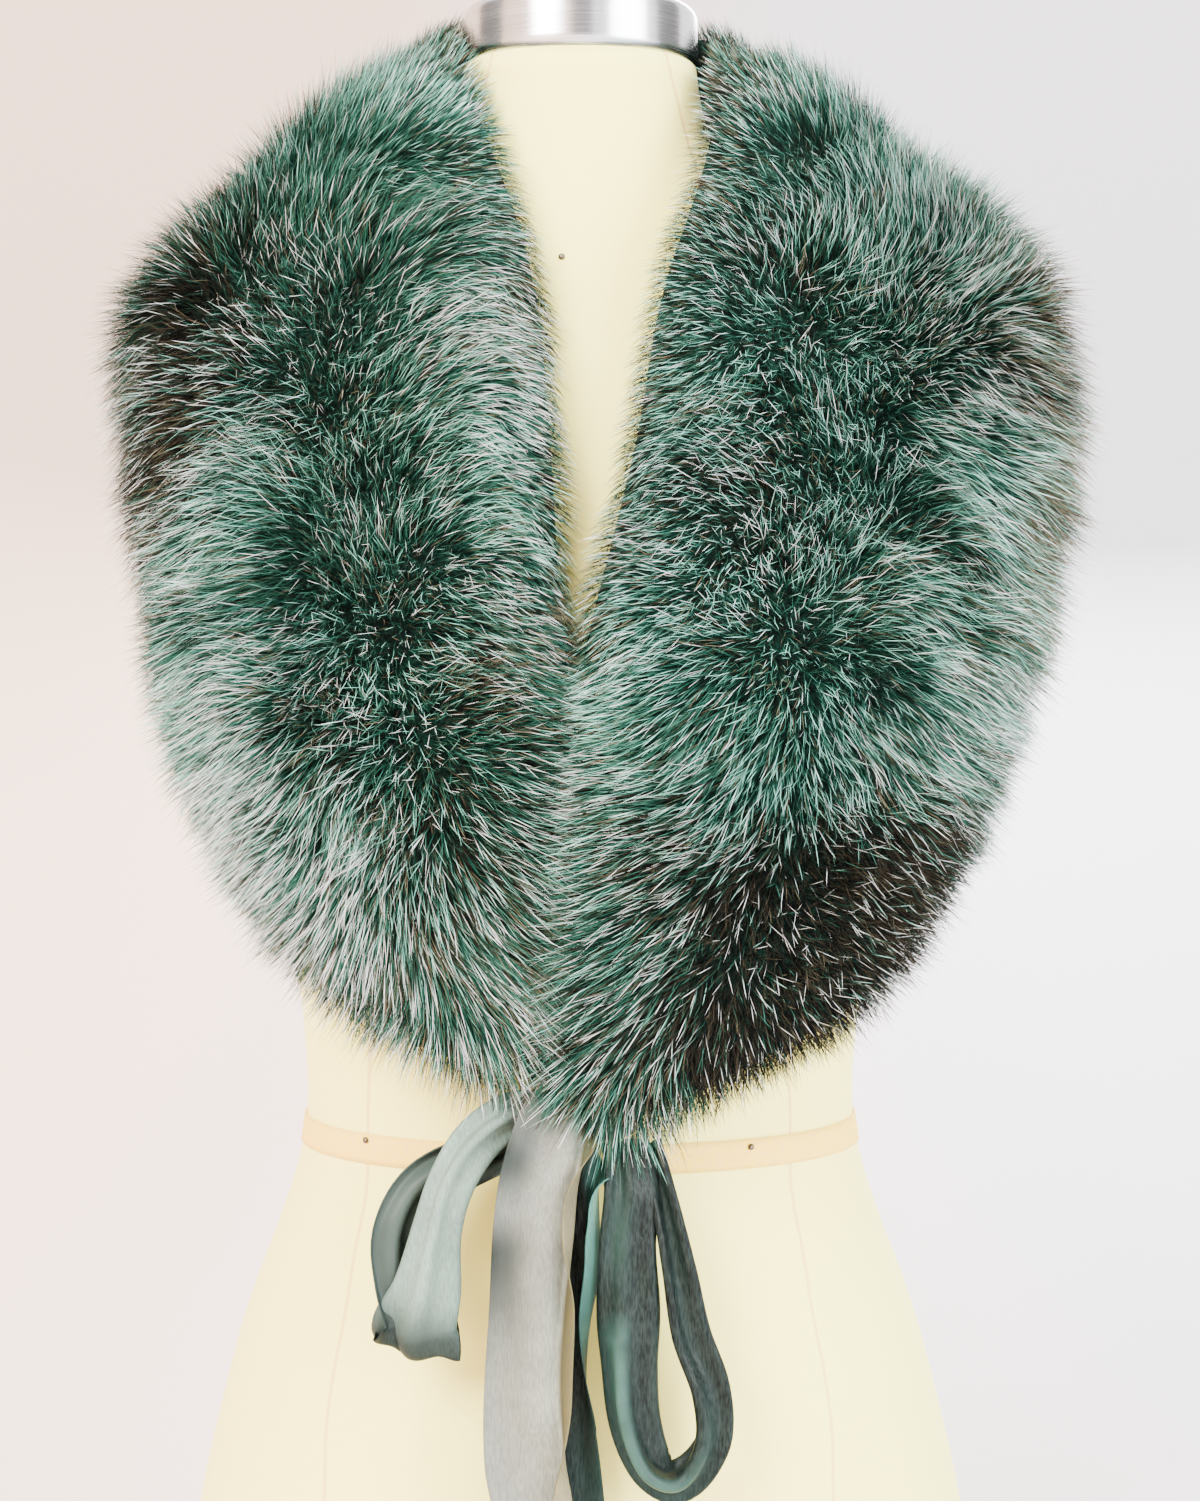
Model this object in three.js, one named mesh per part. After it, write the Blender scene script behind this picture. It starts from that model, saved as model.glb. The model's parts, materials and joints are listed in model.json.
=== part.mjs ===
// A fur collar wrap, tied at the front with a satin ribbon bow, worn on a limbless dress form.
// Millimetres, +Z up. The form stands on z = 0 with its neck on the Z axis, and its front faces -Y.
// An azimuth is an angle about Z: 0 is the front, 90 is +X and 180 is the back.
import * as THREE from 'three';

// Driving dimensions of the form
const formSegments = 40;
const formRingCount = 38;
const shoulderCrowding = 0.085; // how much closer the rings lie over the shoulders
const formSquareness = 2.15; // 2 is a plain ellipse
const formHeight = 753;
const waistHeight = 300;
const bust = { height: 478, azimuth: 27, rise: 13, spreadHeight: 46, spreadAzimuth: 22 };
const neckCap = { radius: 50.6, height: 25, edge: 5, crown: 4, segments: 44 };
const waistTape = { height: 12, thickness: 0.8, clearance: 0.8 };
const seamGap = 0.3;

// The form's own outline at each height: half its width, and its depth to the front and to the back
const formRows = [
  { z: 0, side: 162, front: 92, back: 112 },
  { z: 45, side: 170, front: 95, back: 118 },
  { z: 95, side: 172.5, front: 97, back: 122 },
  { z: 137, side: 167, front: 97, back: 119 },
  { z: 180, side: 157, front: 96, back: 112 },
  { z: 224, side: 145, front: 94, back: 103 },
  { z: 262, side: 130, front: 91, back: 92 },
  { z: waistHeight, side: 119, front: 88, back: 83 },
  { z: 336, side: 119.5, front: 90, back: 83 },
  { z: 371, side: 123.5, front: 95, back: 86 },
  { z: 415, side: 132, front: 103, back: 92 },
  { z: 455, side: 141, front: 110, back: 98 },
  { z: 495, side: 147, front: 110, back: 103 },
  { z: 540, side: 151, front: 102, back: 106 },
  { z: 590, side: 156, front: 88, back: 106 },
  { z: 622, side: 157, front: 76, back: 101 },
  { z: 643, side: 151, front: 68, back: 92 },
  { z: 662, side: 130, front: 61, back: 81 },
  { z: 680, side: 102, front: 56, back: 70 },
  { z: 696, side: 73, front: 53, back: 61 },
  { z: 712, side: 57, front: 51.5, back: 56 },
  { z: 735, side: 51.5, front: 50.5, back: 52 },
  { z: formHeight, side: 50, front: 50, back: 50.5 },
];

// What the pelt lies on: just clear of the form, and bridging the hollow between neck and shoulder
const seatRows = [
  { z: 290, side: 124, front: 93, back: 88 },
  { z: 336, side: 124, front: 94, back: 88 },
  { z: 371, side: 128, front: 99, back: 91 },
  { z: 415, side: 136, front: 108, back: 97 },
  { z: 455, side: 145, front: 119, back: 103 },
  { z: 495, side: 151, front: 120, back: 108 },
  { z: 540, side: 155, front: 111, back: 111 },
  { z: 590, side: 160, front: 96, back: 111 },
  { z: 622, side: 160.6, front: 84, back: 105 },
  { z: 643, side: 155.4, front: 76, back: 97 },
  { z: 662, side: 136, front: 70, back: 87 },
  { z: 680, side: 112, front: 66, back: 77 },
  { z: 700, side: 97, front: 62, back: 74 },
  { z: 720, side: 76, front: 58, back: 66 },
  { z: 740, side: 60, front: 55, back: 59 },
  { z: 762, side: 57, front: 57, back: 57 },
  { z: 790, side: 58, front: 58, back: 58 },
];

// Sections of the left half of the collar, from its tip at the front to the middle of the back.
// Each runs from the edge at the neck opening to the outer edge, both as azimuth and height on the
// seat. pile is how far the fur stands at its deepest, and lift how far the pelt is off the seat.
const leftRows = [
  { innerAzimuth: 9.0, innerZ: 345, outerAzimuth: 15, outerZ: 344, pile: 9, lift: 15 },
  { innerAzimuth: 7.0, innerZ: 355, outerAzimuth: 30, outerZ: 354, pile: 21, lift: 13 },
  { innerAzimuth: 5.6, innerZ: 376, outerAzimuth: 46, outerZ: 371, pile: 32, lift: 9 },
  { innerAzimuth: 4.6, innerZ: 402, outerAzimuth: 58, outerZ: 388, pile: 38, lift: 5 },
  { innerAzimuth: 3.8, innerZ: 429, outerAzimuth: 67, outerZ: 410, pile: 41, lift: 2 },
  { innerAzimuth: 2.6, innerZ: 459, outerAzimuth: 74, outerZ: 432, pile: 42, lift: 0 },
  { innerAzimuth: 1.8, innerZ: 491, outerAzimuth: 80, outerZ: 456, pile: 43, lift: 0 },
  { innerAzimuth: 3.6, innerZ: 528, outerAzimuth: 85, outerZ: 480, pile: 43, lift: 0 },
  { innerAzimuth: 5.5, innerZ: 570, outerAzimuth: 90, outerZ: 503, pile: 43, lift: 0 },
  { innerAzimuth: 8.5, innerZ: 612, outerAzimuth: 95, outerZ: 522, pile: 43, lift: 0 },
  { innerAzimuth: 14, innerZ: 652, outerAzimuth: 100, outerZ: 537, pile: 42, lift: 0 },
  { innerAzimuth: 27, innerZ: 696, outerAzimuth: 106, outerZ: 548, pile: 42, lift: 0 },
  { innerAzimuth: 48, innerZ: 736, outerAzimuth: 114, outerZ: 556, pile: 41, lift: 0 },
  { innerAzimuth: 80, innerZ: 762, outerAzimuth: 126, outerZ: 562, pile: 40, lift: 0 },
  { innerAzimuth: 118, innerZ: 774, outerAzimuth: 144, outerZ: 566, pile: 40, lift: 0 },
  { innerAzimuth: 150, innerZ: 777, outerAzimuth: 162, outerZ: 568, pile: 41, lift: 0 },
  { innerAzimuth: 180, innerZ: 778, outerAzimuth: 180, outerZ: 568, pile: 42, lift: 0 },
];

// Sections of the right half, which hangs a little lower and stands further off the shoulder
const rightRows = [
  { innerAzimuth: 2.0, innerZ: 325, outerAzimuth: 12, outerZ: 324, pile: 9, lift: 17 },
  { innerAzimuth: -5.5, innerZ: 338, outerAzimuth: 27, outerZ: 335, pile: 21, lift: 17 },
  { innerAzimuth: -5.0, innerZ: 358, outerAzimuth: 42, outerZ: 350, pile: 33, lift: 15 },
  { innerAzimuth: -4.2, innerZ: 380, outerAzimuth: 56, outerZ: 368, pile: 41, lift: 11 },
  { innerAzimuth: -3.4, innerZ: 407, outerAzimuth: 67, outerZ: 389, pile: 45, lift: 7 },
  { innerAzimuth: -2.2, innerZ: 436, outerAzimuth: 75, outerZ: 412, pile: 47, lift: 5 },
  { innerAzimuth: -0.6, innerZ: 468, outerAzimuth: 81, outerZ: 437, pile: 48, lift: 4 },
  { innerAzimuth: 1.6, innerZ: 503, outerAzimuth: 86, outerZ: 463, pile: 49, lift: 4 },
  { innerAzimuth: 6.5, innerZ: 543, outerAzimuth: 91, outerZ: 488, pile: 51, lift: 6 },
  { innerAzimuth: 13.5, innerZ: 588, outerAzimuth: 96, outerZ: 510, pile: 53, lift: 7 },
  { innerAzimuth: 21, innerZ: 632, outerAzimuth: 101, outerZ: 529, pile: 53, lift: 8 },
  { innerAzimuth: 33, innerZ: 674, outerAzimuth: 107, outerZ: 543, pile: 51, lift: 8 },
  { innerAzimuth: 53, innerZ: 726, outerAzimuth: 115, outerZ: 553, pile: 48, lift: 6 },
  { innerAzimuth: 83, innerZ: 759, outerAzimuth: 127, outerZ: 560, pile: 45, lift: 3 },
  { innerAzimuth: 118, innerZ: 773, outerAzimuth: 144, outerZ: 565, pile: 43, lift: 1.5 },
  { innerAzimuth: 150, innerZ: 777, outerAzimuth: 162, outerZ: 568, pile: 42, lift: 0 },
  { innerAzimuth: 180, innerZ: 778, outerAzimuth: 180, outerZ: 568, pile: 42, lift: 0 },
];

// Soft partings across the band where the fur opens as the pelt bends, along each half from its
// tip (0) to the middle of the back (1)
const leftPartings = [
  { along: 0.17, depth: 5, spread: 0.035 },
  { along: 0.33, depth: 7, spread: 0.04 },
  { along: 0.52, depth: 8, spread: 0.04 },
  { along: 0.7, depth: 6, spread: 0.035 },
  { along: 0.87, depth: 5, spread: 0.04 },
];
const rightPartings = [
  { along: 0.14, depth: 5, spread: 0.035 },
  { along: 0.29, depth: 8, spread: 0.035 },
  { along: 0.45, depth: 5, spread: 0.04 },
  { along: 0.6, depth: 8, spread: 0.035 },
  { along: 0.76, depth: 7, spread: 0.035 },
  { along: 0.9, depth: 5, spread: 0.04 },
];
const fur = { sections: 40, across: 11, fullness: 2.7, lumpHeight: 2.2, lumpsAlong: 9, lumpsAcross: 2.5 };

// The satin ribbon of the tie
const ribbon = { width: 42, thickness: 1.2, across: 9, fineAcross: 72, stepsPerRow: 2, leadStepsPerRow: 3 };
const lipSoftness = 0.2; // share of half the width that a turned margin bends over

// Stretches of the ribbon, each a row for every place that it passes: the middle of the ribbon and,
// where they differ from a flat ribbon that faces the front, how far it is turned about its length,
// the share of its width that fine gathers leave, how far it is curled back across its width, how
// deep a fold runs down its middle, and how far its right margin is turned forward, from lipAt of the
// way to its edge. Angles are in degrees.
const flatRibbon = { turn: 0, spread: 1, curl: 0, pleat: 0, lip: 0, lipAt: 0.8 };
const leftLoop = [
  { x: -10, y: -105.6, z: 322.6, spread: 0.28, curl: -40 },
  { x: -25, y: -111, z: 323, spread: 0.38, curl: -70, turn: 8 },
  { x: -40, y: -117, z: 313, spread: 0.42, curl: -80, turn: 18 },
  { x: -50, y: -121, z: 297, spread: 0.4, curl: -90, turn: 20 },
  { x: -55, y: -122, z: 278, spread: 0.44, curl: -80, turn: 10 },
  { x: -59, y: -124, z: 256, spread: 0.62, curl: -50, turn: 14 },
  { x: -63.8, y: -124.5, z: 240.3, spread: 0.76, curl: -15, turn: 16 },
  { x: -64.3, y: -119.5, z: 229, spread: 0.775, curl: 0, turn: 47 },
  { x: -64, y: -114.5, z: 240.3, spread: 0.75, curl: 10, turn: 77 },
  { x: -67, y: -113.5, z: 257, spread: 0.58, curl: 60, turn: 68 },
  { x: -69.5, y: -113, z: 276, spread: 0.42, curl: 100, turn: 60 },
  { x: -60, y: -111, z: 294, spread: 0.38, curl: 90, turn: 48 },
  { x: -38, y: -106, z: 306, spread: 0.34, curl: 80, turn: 32 },
  { x: -10.5, y: -99.5, z: 314.5, spread: 0.3, curl: 60, turn: 20 },
];
const rightLoop = [
  { x: 17.5, y: -106.7, z: 311.2, spread: 0.42, curl: -50, pleat: 45 },
  { x: 20, y: -115, z: 294, spread: 0.42, curl: -50, pleat: 45 },
  { x: 18.6, y: -118, z: 272, spread: 0.36, curl: -40, pleat: 45 },
  { x: 18.8, y: -119, z: 247, spread: 0.45, curl: -40, pleat: 40 },
  { x: 18.4, y: -120, z: 225, spread: 0.4, curl: -60, pleat: 20, turn: 6 },
  { x: 20.5, y: -120, z: 201, spread: 0.38, curl: -60, pleat: 10, turn: 6 },
  { x: 28, y: -120, z: 182.5, spread: 0.35, curl: -50, turn: 4 },
  { x: 40.5, y: -119, z: 178.5, spread: 0.34, curl: -40, turn: -14 },
  { x: 50, y: -118, z: 194, spread: 0.28, curl: -40, pleat: 10, turn: -34 },
  { x: 49.5, y: -117, z: 214, spread: 0.26, curl: -40, pleat: 16, turn: -34 },
  { x: 42, y: -116, z: 236, spread: 0.3, curl: -60, pleat: 16, turn: -26 },
  { x: 37.8, y: -115, z: 262, spread: 0.28, curl: -70, pleat: 16, turn: -24 },
  { x: 33.5, y: -113, z: 286, spread: 0.26, curl: -70, pleat: 16, turn: -24 },
  { x: 27.5, y: -104, z: 310, spread: 0.26, curl: -60, pleat: 16, turn: -20 },
];
const tailFront = [
  { x: -5, y: -114.1, z: 326, spread: 0.56, curl: -70, lip: 0 },
  { x: -8.5, y: -119.5, z: 316, spread: 0.76, curl: -50, lip: 60 },
  { x: -12, y: -125, z: 298, spread: 0.9, curl: -22, lip: 100, lipAt: 0.74 },
  { x: -14, y: -128, z: 278, spread: 0.93, curl: -30, lip: 105, lipAt: 0.74 },
  { x: -17, y: -128, z: 250, spread: 0.84, curl: -60, lip: 75, lipAt: 0.78 },
  { x: -19, y: -128, z: 218, spread: 0.84, curl: -65, lip: 70, lipAt: 0.78 },
  { x: -17, y: -128, z: 190, spread: 0.95, curl: -45, lip: 90, lipAt: 0.72 },
  { x: -13, y: -128, z: 168, spread: 1, curl: -25, lip: 105, lipAt: 0.66 },
  { x: -13, y: -127, z: 140, spread: 1, curl: -15, lip: 80, lipAt: 0.68 },
  { x: -15, y: -126, z: 112, spread: 1, curl: -12, lip: 40 },
];
const tailBack = [
  { x: 2, y: -105.4, z: 309.3, spread: 0.4, curl: -60 },
  { x: -2, y: -110, z: 296, spread: 0.74, curl: -20, lip: 90, lipAt: 0.7 },
  { x: -2, y: -111, z: 278, spread: 0.86, curl: -10, lip: 105, lipAt: 0.66 },
  { x: -1, y: -111, z: 262, spread: 0.9, curl: -10, lip: 105, lipAt: 0.6 },
  { x: -6, y: -111, z: 243, spread: 0.9, curl: -10, lip: 100, lipAt: 0.68 },
  { x: -9.5, y: -111, z: 222, spread: 0.92, curl: -14, lip: 80, lipAt: 0.76 },
  { x: -11.5, y: -111, z: 196, spread: 1, curl: -18, lip: 40 },
  { x: -10, y: -110, z: 165, spread: 1, curl: -20, lip: 20 },
  { x: -7, y: -109, z: 128, spread: 1, curl: -20 },
];
const leftLead = [
  { x: -17, y: -107.2, z: 349, spread: 0.3, curl: 10 },
  { x: -11.5, y: -106, z: 341, spread: 0.28, curl: 20 },
  { x: -4.5, y: -103.5, z: 331.7, spread: 0.26, curl: 30 },
];
const knot = {
  x: 7,
  y: -102.8,
  z: 321,
  halfWidth: 17,
  halfDepth: 7.6,
  halfHeight: 12,
  endAngle: 9.2, // degrees, where its rounded ends are cut flat
  squareness: 0.7, // 1 is a plain ellipsoid
  sections: 12,
  segments: 16,
};

const colours = {
  formCloth: 0xf3ead2,
  tape: 0xf4dcc0,
  brushedMetal: 0xc9ccd0,
  fur: 0x2f5a50,
  satin: 0x6f8a86,
};

const radians = THREE.MathUtils.degToRad;

/** The value of one column of a table at a place on its own ruler, on a smooth curve through the rows. */
function smoothColumn(rows, ruler, column, at) {
  const last = rows.length - 1;
  const place = (i) => (ruler ? rows[i][ruler] : i / last);
  let i = 0;
  while (i < last - 1 && at > place(i + 1)) i += 1;
  const slope = (k) => {
    const a = Math.max(k - 1, 0);
    const b = Math.min(k + 1, last);
    return (rows[b][column] - rows[a][column]) / (place(b) - place(a));
  };
  const span = place(i + 1) - place(i);
  const u = THREE.MathUtils.clamp((at - place(i)) / span, 0, 1);
  const startWeight = (1 + 2 * u) * (1 - u) ** 2;
  const endWeight = u * u * (3 - 2 * u);
  const startSlope = u * (1 - u) ** 2 * span;
  const endSlope = u * u * (u - 1) * span;
  return rows[i][column] * startWeight + rows[i + 1][column] * endWeight
    + slope(i) * startSlope + slope(i + 1) * endSlope;
}

function rowAt(rows, ruler, columns, at) {
  return Object.fromEntries(columns.map((column) => [column, smoothColumn(rows, ruler, column, at)]));
}

/** A point of a torso-like surface given by a table of outlines. */
function surfacePoint(rows, azimuth, z) {
  const { side, front, back } = rowAt(rows, 'z', ['side', 'front', 'back'], z);
  const across = Math.sin(radians(azimuth));
  const ahead = Math.cos(radians(azimuth));
  const depth = ahead > 0 ? front : back;
  const sum = Math.abs(across / side) ** formSquareness + Math.abs(ahead / depth) ** formSquareness;
  let radius = sum ** (-1 / formSquareness);
  const aside = (Math.abs(THREE.MathUtils.euclideanModulo(azimuth + 180, 360) - 180) - bust.azimuth)
    / bust.spreadAzimuth;
  const above = (z - bust.height) / bust.spreadHeight;
  radius += bust.rise * Math.exp(-aside * aside - above * above);
  return new THREE.Vector3(radius * across, -radius * ahead, z);
}

/** The outward unit normal of such a surface. */
function surfaceNormal(rows, azimuth, z) {
  const step = 1.5;
  const around = surfacePoint(rows, azimuth + step, z).sub(surfacePoint(rows, azimuth - step, z));
  const upward = surfacePoint(rows, azimuth, z + step).sub(surfacePoint(rows, azimuth, z - step));
  return around.cross(upward).normalize();
}

/**
 * One closed body through rings of points, all with the same number of points. A zigzag of faces
 * between the two sides of the ring closes each end, or the last ring joins the first one.
 */
function loft(rings, joined = false) {
  const count = rings[0].length;
  const points = rings.flat();
  const faces = [];
  for (let i = 0; i < (joined ? rings.length : rings.length - 1); i += 1) {
    const next = ((i + 1) % rings.length) * count;
    for (let k = 0; k < count; k += 1) {
      const after = (k + 1) % count;
      faces.push([i * count + k, i * count + after, next + after], [i * count + k, next + after, next + k]);
    }
  }
  const closeEnd = (ring, reversed) => {
    const first = ring * count;
    const closing = [];
    for (let low = 0, high = count - 1; low + 1 < high; low += 1, high -= 1) {
      closing.push([low, low + 1, high]);
      if (low + 1 < high - 1) closing.push([low + 1, high - 1, high]);
    }
    closing.forEach(([a, b, c]) => {
      faces.push(reversed ? [first + a, first + b, first + c] : [first + b, first + a, first + c]);
    });
  };
  if (!joined) {
    closeEnd(0, false);
    closeEnd(rings.length - 1, true);
  }
  const volume = faces.reduce(
    (sum, [a, b, c]) => sum + points[a].dot(new THREE.Vector3().crossVectors(points[b], points[c])), 0);
  const outward = volume > 0 ? faces : faces.map(([a, b, c]) => [a, c, b]);
  const geometry = new THREE.BufferGeometry();
  geometry.setAttribute('position',
    new THREE.BufferAttribute(new Float32Array(points.flatMap((p) => p.toArray())), 3));
  geometry.setIndex(outward.flat());
  geometry.computeVertexNormals();
  return geometry;
}

/** The form's body, with its rings closest together over the shoulders. */
function formGeometry() {
  const rings = [];
  for (let i = 0; i < formRingCount; i += 1) {
    const even = i / (formRingCount - 1);
    const z = formHeight * (even + shoulderCrowding * Math.sin(2 * Math.PI * even) * even);
    const ring = [];
    for (let k = 0; k < formSegments; k += 1) ring.push(surfacePoint(formRows, (360 * k) / formSegments, z));
    rings.push(ring);
  }
  return loft(rings);
}

/** The tape round the waist, made from the form's own points, moved out. */
function waistTapeGeometry() {
  const rings = [];
  for (let k = 0; k < formSegments; k += 1) {
    const azimuth = (360 * k) / formSegments;
    const corner = (side, rise) => {
      const z = waistHeight + rise;
      const outward = surfaceNormal(formRows, azimuth, z);
      return surfacePoint(formRows, azimuth, z).addScaledVector(outward, side);
    };
    const half = waistTape.height / 2;
    const inside = waistTape.clearance;
    const outside = inside + waistTape.thickness;
    rings.push([corner(inside, -half), corner(outside, -half), corner(outside, half), corner(inside, half)]);
  }
  return loft(rings, true);
}

/** The metal cap on the neck, its edge rounded and its crown slightly domed. */
function neckCapGeometry() {
  const base = formHeight + seamGap;
  const edgeSteps = 5;
  const profile = [new THREE.Vector2(0, base), new THREE.Vector2(neckCap.radius, base)];
  for (let i = 0; i <= edgeSteps; i += 1) {
    const turn = (Math.PI / 2) * (i / edgeSteps);
    profile.push(new THREE.Vector2(
      neckCap.radius - neckCap.edge * (1 - Math.cos(turn)),
      base + neckCap.height - neckCap.edge * (1 - Math.sin(turn))));
  }
  profile.push(new THREE.Vector2(neckCap.radius / 2, base + neckCap.height + neckCap.crown * 0.75));
  profile.push(new THREE.Vector2(0, base + neckCap.height + neckCap.crown));
  const geometry = new THREE.LatheGeometry(profile, neckCap.segments);
  geometry.rotateX(Math.PI / 2);
  return geometry;
}

/** One half of the collar: the pelt lies on the seat and the fur stands off it in a full dome. */
function furGeometry(rows, partings, hand) {
  const columns = ['innerAzimuth', 'innerZ', 'outerAzimuth', 'outerZ', 'pile', 'lift'];
  const rings = [];
  for (let i = 0; i < fur.sections; i += 1) {
    const along = i / (fur.sections - 1);
    const row = rowAt(rows, null, columns, along);
    const opened = partings.reduce(
      (sum, p) => sum + p.depth * Math.exp(-(((along - p.along) / p.spread) ** 2)), 0);
    const under = [];
    const over = [];
    for (let k = 0; k <= fur.across; k += 1) {
      const share = (1 - Math.cos((Math.PI * k) / fur.across)) / 2;
      const azimuth = THREE.MathUtils.lerp(row.innerAzimuth, row.outerAzimuth, share);
      const z = THREE.MathUtils.lerp(row.innerZ, row.outerZ, share);
      const base = surfacePoint(seatRows, azimuth, z);
      const normal = surfaceNormal(seatRows, azimuth, z);
      base.addScaledVector(normal, row.lift);
      const dome = Math.sqrt(Math.max(0, 1 - Math.abs(2 * share - 1) ** fur.fullness));
      const lumps = fur.lumpHeight * Math.sin(2 * Math.PI * fur.lumpsAlong * along + hand)
        * Math.cos(2 * Math.PI * fur.lumpsAcross * share);
      under.push(base);
      over.push(base.clone().addScaledVector(normal, dome * (row.pile + lumps - opened * dome ** 3)));
    }
    const ring = [...under, ...over.slice(1, -1).reverse()];
    ring.forEach((p) => { p.x *= hand; });
    rings.push(ring);
  }
  rings[rings.length - 1].forEach((p) => { p.x = (hand * seamGap) / 2; });
  return loft(rings);
}

/** A ribbon's rows, with the flat ribbon's values where a row gives none. */
function filledRows(rows) {
  return rows.map((row) => ({ ...flatRibbon, ...row }));
}

/** Points across the ribbon, from its left margin to its right one, with the way that each faces. */
function ribbonAcross({ spread, curl, pleat, lip, lipAt }) {
  const fine = ribbon.fineAcross;
  const step = (ribbon.width * spread) / fine;
  const line = [new THREE.Vector2(0, 0)];
  const angles = [];
  for (let i = 0; i < fine; i += 1) {
    const place = (2 * (i + 0.5)) / fine - 1;
    const turned = lip
      * THREE.MathUtils.smoothstep(place, lipAt - lipSoftness, Math.min(lipAt + lipSoftness, 1));
    const angle = radians((curl / 2) * place + pleat * Math.sin(2 * Math.PI * place) + turned);
    const last = line[line.length - 1];
    angles.push(angle);
    line.push(new THREE.Vector2(last.x + step * Math.cos(angle), last.y + step * Math.sin(angle)));
  }
  const middle = line[fine / 2];
  const chosen = [];
  for (let k = 0; k <= ribbon.across; k += 1) {
    const at = Math.round((fine * k) / ribbon.across);
    const angle = (angles[Math.max(at - 1, 0)] + angles[Math.min(at, fine - 1)]) / 2;
    chosen.push({ across: line[at].x - middle.x, ahead: line[at].y - middle.y, angle });
  }
  return chosen;
}

/** A stretch of ribbon as a thin wall that follows its rows without twisting, apart from their turns. */
function ribbonGeometry(rows, stepsPerRow) {
  const filled = filledRows(rows);
  const columns = Object.keys(flatRibbon);
  const count = (rows.length - 1) * stepsPerRow;
  const middleAt = (at) => {
    const row = rowAt(filled, null, ['x', 'y', 'z'], THREE.MathUtils.clamp(at, 0, 1));
    return new THREE.Vector3(row.x, row.y, row.z);
  };
  const carried = new THREE.Vector3(0, -1, 0);
  const rings = [];
  for (let i = 0; i <= count; i += 1) {
    const at = i / count;
    const row = rowAt(filled, null, columns, at);
    const middle = middleAt(at);
    const along = middleAt(at + 0.5 / count).sub(middleAt(at - 0.5 / count)).normalize();
    carried.addScaledVector(along, -carried.dot(along)).normalize();
    const face = carried.clone().applyAxisAngle(along, radians(row.turn));
    const side = new THREE.Vector3().crossVectors(face, along);
    const outer = [];
    const inner = [];
    ribbonAcross(row).forEach(({ across, ahead, angle }) => {
      const place = middle.clone().addScaledVector(side, across).addScaledVector(face, ahead);
      const normal = face.clone().multiplyScalar(Math.cos(angle)).addScaledVector(side, -Math.sin(angle));
      outer.push(place.clone().addScaledVector(normal, ribbon.thickness / 2));
      inner.push(place.clone().addScaledVector(normal, -ribbon.thickness / 2));
    });
    rings.push([...outer, ...inner.reverse()]);
  }
  return loft(rings);
}

/** The knot of the bow, a flattened lump that lies across. */
function knotGeometry() {
  const rings = [];
  for (let i = 0; i <= knot.sections; i += 1) {
    const polar = radians(THREE.MathUtils.lerp(knot.endAngle, 180 - knot.endAngle, i / knot.sections));
    const ring = [];
    for (let k = 0; k < knot.segments; k += 1) {
      const turn = (2 * Math.PI * k) / knot.segments;
      const size = Math.sin(polar) ** knot.squareness;
      ring.push(new THREE.Vector3(
        knot.x - knot.halfWidth * Math.cos(polar),
        knot.y + knot.halfDepth * size * Math.sin(turn),
        knot.z + knot.halfHeight * size * Math.cos(turn)));
    }
    rings.push(ring);
  }
  return loft(rings);
}

function named(name, geometry, colour, roughness, metalness = 0) {
  const material = new THREE.MeshStandardMaterial({ color: colour, roughness, metalness });
  const mesh = new THREE.Mesh(geometry, material);
  mesh.name = name;
  return mesh;
}

const collarOnForm = new THREE.Group();
collarOnForm.add(named('form_torso', formGeometry(), colours.formCloth, 0.85));
collarOnForm.add(named('form_waist_tape', waistTapeGeometry(), colours.tape, 0.8));
collarOnForm.add(named('form_neck_cap', neckCapGeometry(), colours.brushedMetal, 0.3, 1));
collarOnForm.add(named('fur_left', furGeometry(leftRows, leftPartings, -1), colours.fur, 0.8));
collarOnForm.add(named('fur_right', furGeometry(rightRows, rightPartings, 1), colours.fur, 0.8));

const stretches = [
  { name: 'tie_left_loop', rows: leftLoop, steps: ribbon.stepsPerRow },
  { name: 'tie_right_loop', rows: rightLoop, steps: ribbon.stepsPerRow },
  { name: 'tie_tail_front', rows: tailFront, steps: ribbon.stepsPerRow },
  { name: 'tie_tail_back', rows: tailBack, steps: ribbon.stepsPerRow },
  { name: 'tie_left_lead', rows: leftLead, steps: ribbon.leadStepsPerRow },
];
for (const { name, rows, steps } of stretches) {
  collarOnForm.add(named(name, ribbonGeometry(rows, steps), colours.satin, 0.35));
}
collarOnForm.add(named('tie_knot', knotGeometry(), colours.satin, 0.35));

export default collarOnForm;
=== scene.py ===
import json
import math

import bmesh
import bpy
import numpy as np
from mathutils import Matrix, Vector
from mathutils.bvhtree import BVHTree

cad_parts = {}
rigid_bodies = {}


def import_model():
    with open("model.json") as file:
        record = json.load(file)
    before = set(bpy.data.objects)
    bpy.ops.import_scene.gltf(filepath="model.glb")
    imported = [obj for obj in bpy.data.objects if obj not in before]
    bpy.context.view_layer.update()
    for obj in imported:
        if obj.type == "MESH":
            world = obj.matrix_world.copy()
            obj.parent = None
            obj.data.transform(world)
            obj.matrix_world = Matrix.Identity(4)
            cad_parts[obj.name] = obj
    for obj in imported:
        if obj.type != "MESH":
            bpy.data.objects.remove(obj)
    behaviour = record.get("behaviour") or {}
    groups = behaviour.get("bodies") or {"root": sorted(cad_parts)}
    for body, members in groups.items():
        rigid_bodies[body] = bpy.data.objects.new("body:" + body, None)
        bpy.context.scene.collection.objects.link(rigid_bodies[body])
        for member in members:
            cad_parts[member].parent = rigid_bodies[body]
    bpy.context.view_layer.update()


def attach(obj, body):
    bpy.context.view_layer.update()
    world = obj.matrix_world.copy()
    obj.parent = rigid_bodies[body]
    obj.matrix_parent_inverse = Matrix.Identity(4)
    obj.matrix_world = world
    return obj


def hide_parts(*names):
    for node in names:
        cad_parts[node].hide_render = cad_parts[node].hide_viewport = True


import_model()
millimetre = 0.001


# Shared helpers

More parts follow.
